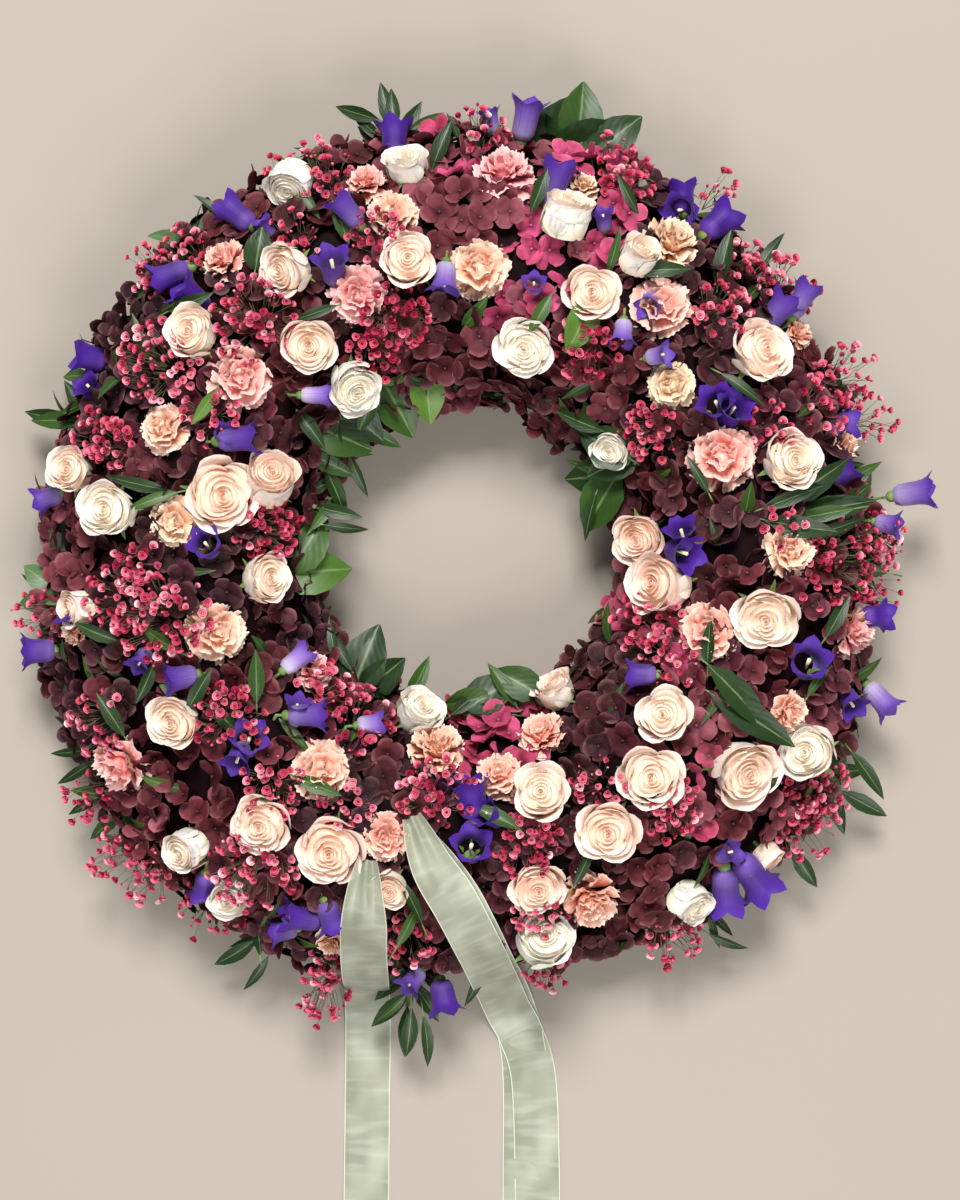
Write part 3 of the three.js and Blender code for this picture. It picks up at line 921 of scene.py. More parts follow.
# Carnations: x, y, across, hue (0 beige, 0.35 peach, 0.7 salmon, 1 pink). The first 13 stand for the
# solid carnations, in their order.
CARNATIONS = [
    (-86, 206, 54, 0.85), (-180, 140, 62, 0.75), (32, 312, 58, 1.0), (11, 227, 56, 0.35),
    (168, 254, 56, 0.2), (158, 198, 60, 0.75), (205, 76, 62, 0.7), (-284, -173, 60, 0.9),
    (-198, -63, 56, 0.35), (193, -63, 56, 0.6), (321, -63, 54, 0.85), (-113, -174, 60, 0.45),
    (102, -284, 60, 0.5), (-81, 302, 38, 0.75), (-60, 274, 48, 0.4), (-197, 239, 42, 0.7),
    (-243, 100, 48, 0.35), (164, 133, 46, 0.05), (275, 182, 32, 0.4), (312, 90, 36, 0.4),
    (-233, 25, 48, 0.15), (-22, -154, 54, 0.4), (-120, -93, 38, 0.85), (-319, -63, 32, 0.4),
    (262, 2, 50, 0.3), (263, -130, 38, 0.4), (61, -144, 48, 0.6), (27, -176, 44, 0.5),
    (-63, -228, 46, 0.55), (-110, -318, 34, 0.25), (97, 299, 28, 0.15),
]
SOLID_CARNATIONS = 13


def stand_bloom(name, models, calyx, bloom, proud, slot, node, lean=None):
    """A bloom on its stem, facing away from the foam or leaning over."""
    x, y, across, tint = bloom
    rng = random.Random(round(31 * x + 17 * y))
    core = core_below(x, y)
    place = at(x, y, bed_height(x, y) + proud)
    away = (place - core).normalized()
    facing = away
    if lean:
        facing = heading(lean[0], 90 - lean[1])
        place = place + UP * 0.1 * across * MM
    size = across / 2 * MM
    stand = (sized(size), aim(facing, rng.uniform(0, 6.28)), moved(place))
    head = mark(copied(rng.choice(models), *stand), tint=held(tint + rng.uniform(-0.06, 0.06)))
    cup = copied(calyx, *stand)
    foot = place + facing * ROSE_FOOT * size
    start = core + away * 10 * MM
    piece = joined(name, [head, cup, stalk(STALK, start, foot, 4.5)])
    return ride(piece, slot, *([node] if node else []))


for i, (x, y, across, blush, opened) in enumerate(ROSES):
    node = f"rose_{i + 1:02d}" if i < SOLID_ROSES else None
    bloom = (x, y, across, blush)
    stand_bloom(
        f"rose_bloom_{i + 1:02d}", ROSE_MODELS[opened], ROSE_CALYX, bloom, 3, "rose_petals", node,
        LEANING.get(i),
    )
for i, (x, y, across, hue) in enumerate(CARNATIONS):
    node = f"carnation_{i + 1:02d}" if i < SOLID_CARNATIONS else None
    stand_bloom(
        f"carnation_bloom_{i + 1:02d}", CARNATION_MODELS, CARNATION_CALYX, (x, y, across, hue), 1,
        "carnation_petals", node,
    )

# Bellflower stems that stand for the solid ones: bells as x, y, z of the foot, mouth, the way it
# faces, its pitch and how pale it is.
BELL_STEMS = [
    [(-336, -79, 62, 31, 183, 8, 0.1), (-300, -58, 88, 28, 150, 25, 0.0)],
    [(350, 47, 62, 31, 8, 12, 0.4), (335, 26, 66, 24, -10, 20, 0.4)],
    [(-21, -350, 56, 32, -78, 14, 0.05), (-36, -340, 70, 24, -130, 25, 0.3)],
    [(46, 338, 64, 32, 78, 14, 0.35), (24, 344, 56, 20, 105, 10, 0.5)],
    [(330, -108, 56, 28, -48, 14, 0.6), (308, -112, 74, 26, -60, 40, 0.1)],
    [(-292, 156, 72, 32, 165, 14, 0.0), (-300, 128, 72, 26, 130, 40, 0.0)],
]
# The other bells: x, y of the bell's middle, mouth, the way it faces, its pitch and how pale it is.
BELLS = [
    (-58, 345, 32, 90, 22, 0.0), (-190, 279, 30, 140, 20, 0.05), (-164, 268, 20, 120, 50, 0.2),
    (-99, 280, 28, 130, 25, 0.15), (-107, 236, 32, 100, 50, 0.2), (-230, 214, 34, 140, 45, 0.0),
    (-247, 222, 30, 200, 25, 0.05), (-17, 208, 28, 265, 15, 0.55), (-172, 91, 30, 5, 15, 0.1),
    (-188, 98, 24, 60, 50, 0.2), (-113, 126, 22, 0, 15, 0.7), (75, 306, 34, 75, 22, 0.1),
    (110, 273, 20, 100, 50, 0.2), (176, 302, 30, 95, 30, 0.0), (170, 277, 30, 200, 50, 0.05),
    (216, 278, 36, 42, 25, 0.0), (186, 284, 26, 20, 60, 0.0), (55, 218, 20, 90, 50, 0.3),
    (145, 194, 22, 250, 40, 0.4), (125, 166, 24, 265, 20, 0.65), (161, 158, 22, 10, 25, 0.6),
    (258, 202, 32, 50, 35, 0.15), (278, 214, 28, 60, 20, 0.25), (198, 124, 32, 120, 60, 0.0),
    (216, 118, 32, 60, 55, 0.0), (315, 106, 30, 5, 18, 0.2), (315, 72, 28, 40, 50, 0.05),
    (172, 21, 28, 110, 50, 0.05), (180, -2, 32, -20, 40, 0.0), (344, -51, 28, 0, 15, 0.0),
    (277, -82, 36, 80, 62, 0.1), (130, -98, 28, 180, 20, 0.1), (-350, 42, 26, 200, 30, 0.2),
    (-208, 9, 28, 120, 60, 0.1), (-238, -102, 30, 190, 20, 0.15), (-262, -92, 22, 240, 40, 0.2),
    (-131, -82, 24, 40, 15, 0.75), (-118, -130, 28, 0, 12, 0.2), (-134, -122, 22, 80, 50, 0.3),
    (-67, -137, 24, 5, 12, 0.6), (-171, -146, 32, 70, 60, 0.3), (-183, -170, 26, 250, 40, 0.15),
    (2, -181, 38, 100, 25, 0.0), (6, -229, 34, 80, 55, 0.1), (14, -206, 26, 150, 40, 0.0),
    (-213, -279, 26, 262, 15, 0.05), (-140, -293, 30, 170, 25, 0.05), (-104, -304, 30, -70, 20, 0.1),
    (-158, -308, 26, 190, 30, 0.2), (213, -282, 36, -84, 14, 0.1), (240, -270, 38, -52, 14, 0.05),
    (218, -240, 24, 20, 50, 0.2),
]


# Each bell is drawn at this share of its listed mouth.
BELL_SHARE = 0.9
# Bells past this pitch, in degrees, face up, and hide the florets under their mouths.
UPRIGHT = 35


def bell_head(foot, mouth, facing, pale, rng):
    """A bell on its foot, a little shorter or longer than the next one."""
    model = rng.choice((BELL, LONG_BELL) if facing.z < 0.6 else (BELL, SHORT_BELL))
    mouth *= BELL_SHARE
    return mark(
        copied(model, sized(mouth / 2 * MM), aim(facing, rng.uniform(0, 6.28)), moved(foot)), tint=pale
    )


def bell_stem(name, bells, nodes):
    rng = random.Random(len(name) + round(bells[0][0]))
    parts = []
    for x, y, z, mouth, turn, pitch, pale in bells:
        foot = at(x, y, z)
        facing = heading(turn, pitch)
        core = core_below(x, y)
        elbow = foot - facing * 9 * MM
        parts.append(bell_head(foot, mouth, facing, pale, rng))
        parts.append(stalk(STALK, core + (elbow - core).normalized() * 10 * MM, elbow, 3.2))
        parts.append(stalk(STALK, elbow, foot, 2.6))
    return ride(joined(name, parts), "bellflower_petals", *nodes)


for i, bells in enumerate(BELL_STEMS):
    bell_stem(f"bellflower_stem_{i + 1:02d}", bells, [f"bellflower_{i + 1:02d}"])
for i, (x, y, mouth, turn, pitch, pale) in enumerate(BELLS):
    lip_height = bed_height(x, y)
    level = heading(turn, 0) * mouth
    fall = math.degrees(math.atan2(lip_height - bed_height(x - level.x, y - level.y), mouth))
    pitch += max(-42, min(15, fall))
    foot = Vector((x, y, lip_height + 10)) - heading(turn, pitch) * 0.85 * mouth
    bell_stem(f"bellflower_{len(BELL_STEMS) + i + 1:02d}", [(*foot, mouth, turn, pitch, pale)], [])

# ---------------------------------------------------------------- hydrangea bed

# Patches of colour: x, y and hue (0 near-black burgundy, 0.35 burgundy, 0.6 plum, 0.8 dusty mauve,
# 1 magenta).
PATCHES = [
    (-132, 272, 0.35), (-267, 184, 0.05), (-10, 293, 0.7), (-139, 150, 0.4), (-127, 103, 0.3),
    (-10, 150, 0.4), (85, 242, 1.1), (42, 205, 1.05), (114, 142, 0.35), (277, 150, 0.35),
    (190, 165, 0.15), (134, 74, 0.35), (197, 230, 0.1), (-326, 5, 0.66), (-268, -8, 0.1),
    (-213, -17, 0.05), (-146, -61, 0.1), (-194, -102, 0.35), (-326, -127, 0.1), (-210, -190, 0.5),
    (-235, 74, 0.3), (-83, -110, 0.45), (-70, -178, 0.15), (120, -29, 0.85), (208, 30, 0.25),
    (149, 57, 0.35), (100, -86, 0.2), (105, -127, 0.15), (245, -98, 0.35), (301, -120, 0.45),
    (26, -139, 1.0), (183, -122, 0.8), (-127, -339, 0.35), (-250, -239, 0.6), (177, -253, 0.4),
    (131, -318, 0.35), (214, -210, 0.85), (248, -222, 0.6), (154, -295, 0.45), (-30, 190, 0.3),
    (330, 60, 0.3), (-20, -280, 0.2), (-60, -330, 0.25),
]
FLORET_SIZE = 16.5
FLORET_SPACING = 18.5
HYDRANGEAS = 10
SECTION_ROWS = range(-80, 81, 10)
# No floret stands nearer to a bloom's middle than this, in shares of its width.
BLOOM_MIDDLE = 0.36
# How much deeper florets sit beside a bloom and under a ribbon.
BLOOM_EDGE = 0.65
SUNK_BY_BLOOM = 4
SUNK_BY_RIBBON = 7
# The ribbons' middle lines in plan, where the flowers below are pressed down, and half that width.
RIBBON_LINES = (
    ((-79, -246), (-82, -341), (-83, -410)),
    ((-42, -212), (-10, -276), (22, -346), (50, -410)),
)
RIBBON_REACH = 24
PRESSED = 16


def under_a_ribbon(x, y):
    here = Vector((x, y))
    for line in RIBBON_LINES:
        for start, end in zip(line, line[1:]):
            nearest, share = geometry.intersect_point_line(here, Vector(start), Vector(end))
            if 0 <= share <= 1 and (here - nearest).length < RIBBON_REACH:
                return True
    return False


def patch_hue(x, y):
    return min(PATCHES, key=lambda patch: math.hypot(patch[0] - x, patch[1] - y))[2]


def nearest_bloom(x, y):
    """How far the nearest rose or carnation is from this place of the bed, in shares of its width."""
    return min(math.hypot(bx - x, by - y) / across for bx, by, across, *rest in ROSES + CARNATIONS)


def in_a_bell(x, y):
    """Whether this place of the bed is under the mouth of a bell that faces up."""
    upright = [bell for bell in BELLS if bell[4] > UPRIGHT]
    return any(math.hypot(bx - x, by - y) < 0.6 * mouth for bx, by, mouth, *rest in upright)


def bed_points(rng, spacing, rows):
    """Places over the bed with the bed's outward direction: rows round the ring, well spread."""
    for row, tilt in enumerate(rows):
        slope = math.radians(tilt)
        count = round(2 * math.pi * (RING_RADIUS + BED_HALF_WIDTH * math.sin(slope)) / spacing)
        for k in range(count):
            turn = 2 * math.pi * (k + 0.5 * (row % 2) + rng.uniform(-0.25, 0.25)) / count
            wobble = slope + math.radians(rng.uniform(-2.5, 2.5))
            across = math.sin(wobble)
            out = Vector((math.cos(turn), math.sin(turn), 0))
            rim = rim_reach(turn, across > 0)
            place = out * (RING_RADIUS + rim * across) + UP * (BED_FOOT + BED_HEIGHT * math.cos(wobble))
            yield place, (out * across * BED_HEIGHT + UP * math.cos(wobble) * rim).normalized()


def hydrangea_florets():
    """The florets of each hydrangea head, as ten joined pieces."""
    rng = random.Random(41)
    heads = [[] for i in range(HYDRANGEAS)]
    for place, outward in bed_points(rng, FLORET_SPACING, SECTION_ROWS):
        near = nearest_bloom(place.x, place.y)
        if near < BLOOM_MIDDLE or in_a_bell(place.x, place.y):
            continue
        turn = math.atan2(place.y, place.x)
        head = round(turn / (2 * math.pi / HYDRANGEAS)) % HYDRANGEAS
        lean = Vector((rng.uniform(-1, 1), rng.uniform(-1, 1), rng.uniform(-1, 1))) * 0.62
        sunk = rng.uniform(-11, 0)
        if under_a_ribbon(place.x, place.y):
            sunk -= SUNK_BY_RIBBON
        elif near < BLOOM_EDGE:
            sunk -= SUNK_BY_BLOOM
        hue = patch_hue(place.x, place.y) + rng.gauss(0, 0.12)
        floret = copied(
            rng.choice(FLORETS), sized(FLORET_SIZE * rng.uniform(0.8, 1.12) * MM),
            aim((outward + lean).normalized(), rng.uniform(0, 6.28)),
            moved(at(*(place + outward * sunk))),
        )
        heads[head].append(mark(floret, tint=held(hue)))
    for i, florets in enumerate(heads):
        ride(joined(f"hydrangea_head_{i + 1:02d}", florets), "hydrangea_petals", f"hydrangea_{i + 1:02d}")


def painted_shade_bed():
    """The mass of short stalks and small leaves below the florets, closed round the foam, coloured near
    black as painted shade deep down among them.
    """
    # Painted shade: this near-black mass shows through the gaps between florets as their shadow.
    depth = 11
    deselect()
    bpy.ops.mesh.primitive_torus_add(
        major_radius=RING_RADIUS * MM, minor_radius=(BED_HALF_WIDTH - depth) * MM,
        major_segments=120, minor_segments=28, location=at(0, 0, BED_FOOT),
    )
    mass = bpy.context.object
    bpy.ops.object.transform_apply()
    editing(mass)
    foot = BED_FOOT * MM
    resize(lambda co: co.z > foot, (1, 1, (BED_HEIGHT - depth) / (BED_HALF_WIDTH - depth)), (0, 0, foot))
    resize(lambda co: co.z < foot - 0.1 * MM, (1, 1, 0.06), (0, 0, foot))
    pick(lambda co: co.z > foot + 4 * MM)
    bpy.ops.transform.vertex_random(offset=5 * MM, seed=5)
    edited()
    for vertex in mass.data.vertices:
        level = (vertex.co - CENTRE).xy
        out = level.length - RING_RADIUS * MM
        if out > 0:
            further = out * spill(math.atan2(level.y, level.x)) / BED_HALF_WIDTH
            vertex.co += (level.normalized() * further).to_3d()
    ride(finished(mass, "hydrangea_painted_shade_bed", PAINTED_SHADE_BED), "hydrangea_petals")


hydrangea_florets()
painted_shade_bed()

# ---------------------------------------------------------------- gypsophila

# Sprays: x, y, reach, blossoms, hue (0 raspberry, 1 pale pink), height over the bed.
SPRAYS = [
    (-118, 314, 24, 34, 0.5, 10), (-257, 230, 20, 26, 0.4, 8), (-228, 245, 22, 30, 0.4, 8),
    (-245, 154, 30, 62, 0.55, 14), (-169, 186, 32, 62, 0.45, 12), (-71, 254, 20, 34, 0.35, 10),
    (-56, 186, 24, 46, 0.15, 10), (-74, 159, 20, 30, 0.2, 8), (-298, 95, 20, 26, 0.4, 8),
    (14, 346, 20, 26, 0.4, 8), (131, 305, 22, 34, 0.35, 8), (231, 233, 24, 44, 0.5, 10),
    (265, 218, 22, 30, 0.5, 8), (205, 196, 22, 34, 0.45, 10), (99, 165, 24, 44, 0.15, 8),
    (148, 96, 22, 32, 0.45, 8), (312, 145, 24, 36, 0.4, 6), (242, 98, 20, 26, 0.4, 8),
    (-286, 89, 18, 22, 0.4, 8), (-159, 22, 24, 60, 0.2, 12), (-240, -54, 34, 74, 0.45, 14),
    (-279, -38, 24, 40, 0.45, 10), (-188, -132, 26, 44, 0.4, 10), (-296, -137, 24, 32, 0.4, 8),
    (-350, -51, 22, 20, 0.35, 4), (-83, -134, 24, 40, 0.35, 8), (-22, -195, 28, 54, 0.45, 10),
    (-115, -110, 20, 30, 0.4, 8), (-154, -186, 24, 36, 0.45, 10), (149, -61, 26, 36, 0.4, 10),
    (164, -86, 22, 28, 0.4, 8), (301, -7, 38, 66, 0.25, 8), (330, -22, 26, 32, 0.25, 6),
    (328, 8, 26, 32, 0.3, 6), (286, -193, 26, 44, 0.4, 8), (169, -201, 20, 26, 0.4, 8),
    (-171, -254, 32, 66, 0.5, 12), (-282, -249, 24, 32, 0.45, 6), (-264, -263, 22, 30, 0.45, 6),
    (-208, -290, 26, 32, 0.35, 4), (-118, -364, 20, 34, 0.4, 2), (-51, -315, 24, 40, 0.45, 8),
    (50, -233, 24, 44, 0.3, 8), (108, -184, 20, 24, 0.4, 8), (162, -210, 18, 20, 0.4, 6),
    (279, -198, 24, 34, 0.4, 6), (277, -222, 26, 38, 0.35, 4), (168, -316, 22, 38, 0.4, 6),
    (66, -338, 18, 30, 0.4, 6), (-200, 110, 22, 26, 0.45, 8), (60, -290, 20, 22, 0.5, 8),
    (-148, 314, 14, 14, 0.4, 6), (330, 110, 22, 22, 0.4, 6), (-310, -200, 20, 20, 0.4, 4),
    (-112, -338, 16, 20, 0.35, 6), (-262, -10, 18, 20, 0.4, 8), (-140, 250, 22, 22, 0.4, 8),
    (120, 320, 20, 22, 0.35, 6), (206, 300, 14, 12, 0.4, 4), (290, 120, 22, 24, 0.4, 8),
    (342, 14, 18, 16, 0.3, 2), (-95, -200, 20, 20, 0.45, 8), (255, 20, 16, 14, 0.4, 8),
]


# Every spray's listed reach and count of blossoms are drawn this much larger.
SPRAY_SPREAD = 1.12
SPRAY_FULLNESS = 1.4
# Blossoms: the share of them up to and with this kind, its model and its radius.
BLOSSOM_KINDS = ((0.27, BUD, 2.4), (0.52, FULL_BLOSSOM, 3.5), (1, OPEN_BLOSSOM, 3.8))


def gypsophila_spray(i, x, y, reach, count, hue, lift):
    """Buds and blossoms on stalks that fork from one root in the bed."""
    rng = random.Random(500 + i)
    reach *= SPRAY_SPREAD
    count = round(SPRAY_FULLNESS * count)
    middle_height = bed_height(x, y) + lift
    outlying = math.hypot(x, y) > 325 + spill(math.atan2(y, x))
    root = core_below(x, y).lerp(at(x, y, middle_height), 0.84 if outlying else 0.72)
    parts = []
    for k in range(count):
        distance = reach * math.sqrt(rng.random())
        turn = rng.uniform(0, 6.28)
        bx = x + distance * math.cos(turn)
        by = y + distance * math.sin(turn)
        drop = bed_height(bx, by) if math.hypot(bx, by) > 120 else middle_height
        bz = 0.5 * (drop + lift + middle_height) - 5 * (distance / reach) ** 2 + rng.uniform(-5, 5)
        if under_a_ribbon(bx, by):
            bz -= PRESSED
        place = at(bx, by, max(bz, 14))
        sway = Vector([rng.uniform(-0.5, 0.5) for axis in "xyz"])
        facing = ((place - root).normalized() + UP * 1.3 + sway).normalized()
        chance = rng.random()
        model, size = next((model, size) for share, model, size in BLOSSOM_KINDS if chance < share)
        size *= rng.uniform(0.8, 1.15)
        tint = hue + 0.05 + rng.gauss(0, 0.25) - (0.3 if model is BUD else 0)
        head = copied(model, sized(size * MM), aim(facing, rng.uniform(0, 6.28)), moved(place))
        parts.append(mark(head, tint=held(tint)))
        fork = root.lerp(place, 0.55) + Vector((rng.uniform(-4, 4), rng.uniform(-4, 4), 0)) * MM
        parts.append(stalk(FINE_STALK, fork, place, 0.7))
        if k % 5 == 0:
            parts.append(stalk(FINE_STALK, root, fork, 1.0))
    piece = joined(f"gypsophila_spray_{i + 1:02d}", parts)
    ride(piece, "hydrangea_petals")


for i, spray in enumerate(SPRAYS):
    gypsophila_spray(i, *spray)

# ---------------------------------------------------------------- leaves

DEEP, GREEN, LIGHT, GREY = 0.05, 0.35, 0.65, 0.95
# Leaves that show: model, x and y of the leaf's middle, length, the way its tip points, pitch, green.
LEAVES = [
    (RUSCUS_LEAF, -337, 110, 50, 178, -4, GREEN), (SLENDER_LEAF, -82, 352, 44, 140, 0, DEEP),
    (RUSCUS_LEAF, -60, 366, 40, 95, 0, DEEP), (RUSCUS_LEAF, -90, 362, 40, 165, 0, DEEP),
    (SLENDER_LEAF, -32, 356, 38, 30, 0, GREEN), (RUSCUS_LEAF, -22, 344, 34, 60, 0, DEEP),
    (BROAD_LEAF, -233, 251, 42, 150, 5, GREY), (BROAD_LEAF, -206, 266, 40, 75, 5, GREY),
    (BROAD_LEAF, -165, 244, 36, 80, 10, DEEP), (RUSCUS_LEAF, -247, 262, 34, 175, 0, GREY),
    (BROAD_LEAF, 78, 350, 70, 60, 8, DEEP), (BROAD_LEAF, 104, 338, 66, 20, 8, DEEP),
    (BROAD_LEAF, 96, 362, 60, 80, 4, GREEN), (RUSCUS_LEAF, 208, 238, 50, 80, 10, DEEP),
    (RUSCUS_LEAF, 158, 226, 46, 5, 10, DEEP), (SLENDER_LEAF, 250, 250, 46, 60, 0, DEEP),
    (BROAD_LEAF, 110, 62, 64, 190, -4, DEEP), (BROAD_LEAF, 108, 40, 56, 235, -6, GREEN),
    (BROAD_LEAF, 112, 88, 52, 150, -4, DEEP), (RUSCUS_LEAF, 92, 106, 44, 160, 0, DEEP),
    (BROAD_LEAF, 92, 178, 44, 250, 10, LIGHT), (SLENDER_LEAF, 120, 240, 40, 70, 20, GREEN),
    (BROAD_LEAF, -54, 118, 58, -60, -4, GREEN), (BROAD_LEAF, -30, 126, 46, -80, -4, LIGHT),
    (RUSCUS_LEAF, -78, 116, 50, -110, -4, GREEN), (BROAD_LEAF, -98, 94, 54, -20, -2, GREEN),
    (BROAD_LEAF, -84, 106, 50, -45, -2, DEEP), (RUSCUS_LEAF, -110, 72, 50, -30, -2, GREEN),
    (RUSCUS_LEAF, -104, 50, 46, -62, -4, DEEP), (RUSCUS_LEAF, -70, 96, 44, -30, -6, GREEN),
    (SLENDER_LEAF, -88, 62, 42, -70, -6, DEEP), (SLENDER_LEAF, -96, 20, 40, 350, -6, DEEP),
    (SLENDER_LEAF, -105, 84, 44, -95, -4, DEEP), (BROAD_LEAF, -120, -14, 60, 8, -2, 0.5),
    (BROAD_LEAF, -128, 10, 56, 60, 0, 0.45), (SLENDER_LEAF, -112, 36, 46, 50, -4, GREEN),
    (BROAD_LEAF, -82, -84, 60, 70, 4, DEEP), (BROAD_LEAF, -66, -100, 46, 30, 4, DEEP),
    (SLENDER_LEAF, -104, -76, 48, 120, 4, DEEP), (RUSCUS_LEAF, -38, -104, 46, 60, 2, GREEN),
    (RUSCUS_LEAF, 5, -118, 44, 40, 2, DEEP), (RUSCUS_LEAF, 31, -106, 44, 120, 0, GREEN),
    (RUSCUS_LEAF, 18, -128, 40, 170, 4, DEEP), (RUSCUS_LEAF, -166, -100, 44, 88, 20, GREEN),
    (RUSCUS_LEAF, -254, -105, 36, 250, 12, DEEP), (BROAD_LEAF, -352, -18, 32, 140, 0, GREY),
    (BROAD_LEAF, -336, -34, 28, 200, 0, GREY), (BROAD_LEAF, -356, -40, 26, 190, 0, GREY),
    (SLENDER_LEAF, -326, -164, 40, 190, -4, DEEP), (SLENDER_LEAF, -322, -182, 42, 215, -6, DEEP),
    (SLENDER_LEAF, -313, -206, 44, 205, -6, DEEP), (RUSCUS_LEAF, -296, -224, 40, 225, -4, GREEN),
    (RUSCUS_LEAF, -310, -196, 34, 170, 0, GREEN), (SLENDER_LEAF, -280, -226, 40, 250, -4, GREEN),
    (SLENDER_LEAF, -109, -70, 40, 100, 6, DEEP), (RUSCUS_LEAF, 231, -133, 84, -31, 6, DEEP),
    (RUSCUS_LEAF, 221, -116, 76, -44, 4, DEEP), (RUSCUS_LEAF, 193, -73, 38, 92, 20, DEEP),
    (SLENDER_LEAF, 262, 44, 54, 20, 10, DEEP), (SLENDER_LEAF, 282, 30, 60, 190, 8, GREEN),
    (SLENDER_LEAF, 298, 18, 56, 10, 6, DEEP), (RUSCUS_LEAF, 300, -51, 40, 60, 8, DEEP),
    (RUSCUS_LEAF, 308, -172, 40, -80, 0, DEEP), (SLENDER_LEAF, 334, -184, 56, -52, -6, DEEP),
    (SLENDER_LEAF, 306, -196, 40, -70, 0, GREEN), (RUSCUS_LEAF, -190, -330, 44, 215, -4, DEEP),
    (SLENDER_LEAF, -172, -348, 40, 240, -6, DEEP), (SLENDER_LEAF, -178, -318, 40, 190, 0, GREEN),
    (RUSCUS_LEAF, -46, -396, 46, 265, -8, DEEP), (SLENDER_LEAF, -30, -404, 50, 280, -8, DEEP),
    (SLENDER_LEAF, -60, -376, 36, 230, -4, GREEN), (SLENDER_LEAF, -42, -276, 46, 110, 12, DEEP),
    (SLENDER_LEAF, -44, -298, 44, 60, 10, GREEN), (RUSCUS_LEAF, -169, -304, 50, 92, 10, DEEP),
    (RUSCUS_LEAF, 279, -260, 44, -60, -6, DEEP), (SLENDER_LEAF, 211, -304, 36, -40, -4, DEEP),
    (SLENDER_LEAF, 217, -322, 40, -30, -6, DEEP), (SLENDER_LEAF, 204, -312, 34, -80, -4, GREEN),
    (SLENDER_LEAF, 8, -358, 42, 250, -2, DEEP), (RUSCUS_LEAF, 322, -12, 46, 170, 8, DEEP),
    (SLENDER_LEAF, -120, 190, 40, 200, 15, DEEP), (SLENDER_LEAF, -262, 176, 38, 100, 12, GREEN),
    (RUSCUS_LEAF, 60, 190, 38, 240, 15, GREEN), (SLENDER_LEAF, 186, 62, 36, 120, 15, DEEP),
    (RUSCUS_LEAF, -212, -110, 40, 60, 15, DEEP), (SLENDER_LEAF, 96, -250, 40, 60, 12, DEEP),
    (RUSCUS_LEAF, -244, -70, 36, 150, 14, GREEN), (SLENDER_LEAF, 284, -100, 38, 60, 12, GREEN),
    (SLENDER_LEAF, 130, 290, 40, 120, 10, DEEP), (BROAD_LEAF, 62, 344, 56, 118, 8, DEEP),
    (BROAD_LEAF, 118, 326, 60, -8, 8, DEEP), (BROAD_LEAF, 126, 346, 52, 42, 6, DEEP),
    (RUSCUS_LEAF, 280, 54, 72, 26, 14, DEEP), (RUSCUS_LEAF, 298, 36, 68, 4, 12, DEEP),
    (SLENDER_LEAF, 318, 62, 58, 30, 8, GREEN), (RUSCUS_LEAF, 268, 20, 60, -12, 14, DEEP),
    (SLENDER_LEAF, 336, 8, 50, -22, 4, DEEP), (BROAD_LEAF, 118, 72, 46, 205, 2, DEEP),
    (SLENDER_LEAF, 100, 28, 42, 252, -4, DEEP), (SLENDER_LEAF, 98, 70, 38, 168, -2, GREEN),
    (BROAD_LEAF, 22, -112, 50, 36, 2, DEEP), (BROAD_LEAF, 42, -104, 44, 148, 2, GREEN),
    (BROAD_LEAF, 0, -122, 40, 198, 4, GREEN), (RUSCUS_LEAF, 26, -210, 44, -20, 20, GREEN),
    (RUSCUS_LEAF, -118, -186, 42, -22, 20, GREEN), (SLENDER_LEAF, -262, 54, 52, 170, 18, DEEP),
    (SLENDER_LEAF, -250, 42, 46, 196, 18, GREEN), (RUSCUS_LEAF, -206, 116, 36, 240, 18, LIGHT),
    (SLENDER_LEAF, 222, 132, 44, -32, 18, DEEP), (RUSCUS_LEAF, -220, 200, 40, 20, 16, DEEP),
    (RUSCUS_LEAF, 60, 290, 40, 250, 16, DEEP), (RUSCUS_LEAF, -284, -130, 42, 120, 14, DEEP),
    (RUSCUS_LEAF, 236, -190, 42, 20, 14, DEEP), (RUSCUS_LEAF, -20, 330, 44, 70, 12, DEEP),
    (SLENDER_LEAF, 150, -190, 44, -150, 16, DEEP),
]
# Ruscus sprigs that stand for the solid ones: tip, leaves and leaf length.
SPRIGS = [
    ((-60, 348, 46), 5, 44), ((-318, 106, 40), 3, 50), ((-48, -374, 40), 5, 44), ((310, -196, 40), 5, 46),
    ((-122, 38, 66), 5, 40),
]
LEAF_STEP = 11
LEAF_SWING = 0.75


def leaf(model, foot, direction, face, length, tint):
    piece = copied(model, sized(length * MM), lay(direction, face), moved(foot))
    return mark(piece, tint=held(tint))


def lone_leaves():
    """The leaves that show between the blooms, as one piece for each quarter of the ring."""
    rng = random.Random(61)
    quarters = [[] for i in range(4)]
    for model, x, y, length, turn, pitch, tint in LEAVES:
        direction = heading(turn, pitch)
        out = math.hypot(x, y)
        height = bed_height(x, y) + (11 if out < 320 + spill(math.atan2(y, x)) else -6)
        foot = at(x, y, height) - direction * length / 2 * MM
        face = (UP + Vector((rng.uniform(-0.4, 0.4), rng.uniform(-0.4, 0.4), 0))).normalized()
        quarter = quarters[int((math.atan2(y, x) + math.pi) / (math.pi / 2)) % 4]
        quarter.append(leaf(model, foot, direction, face, length, tint + rng.uniform(-0.05, 0.05)))
        quarter.append(stalk(STALK, foot - direction * 14 * MM - UP * 10 * MM, foot, 1.6))
    for i, leaves in enumerate(quarters):
        ride(joined(f"greenery_quarter_{i + 1}", leaves), "leaves")


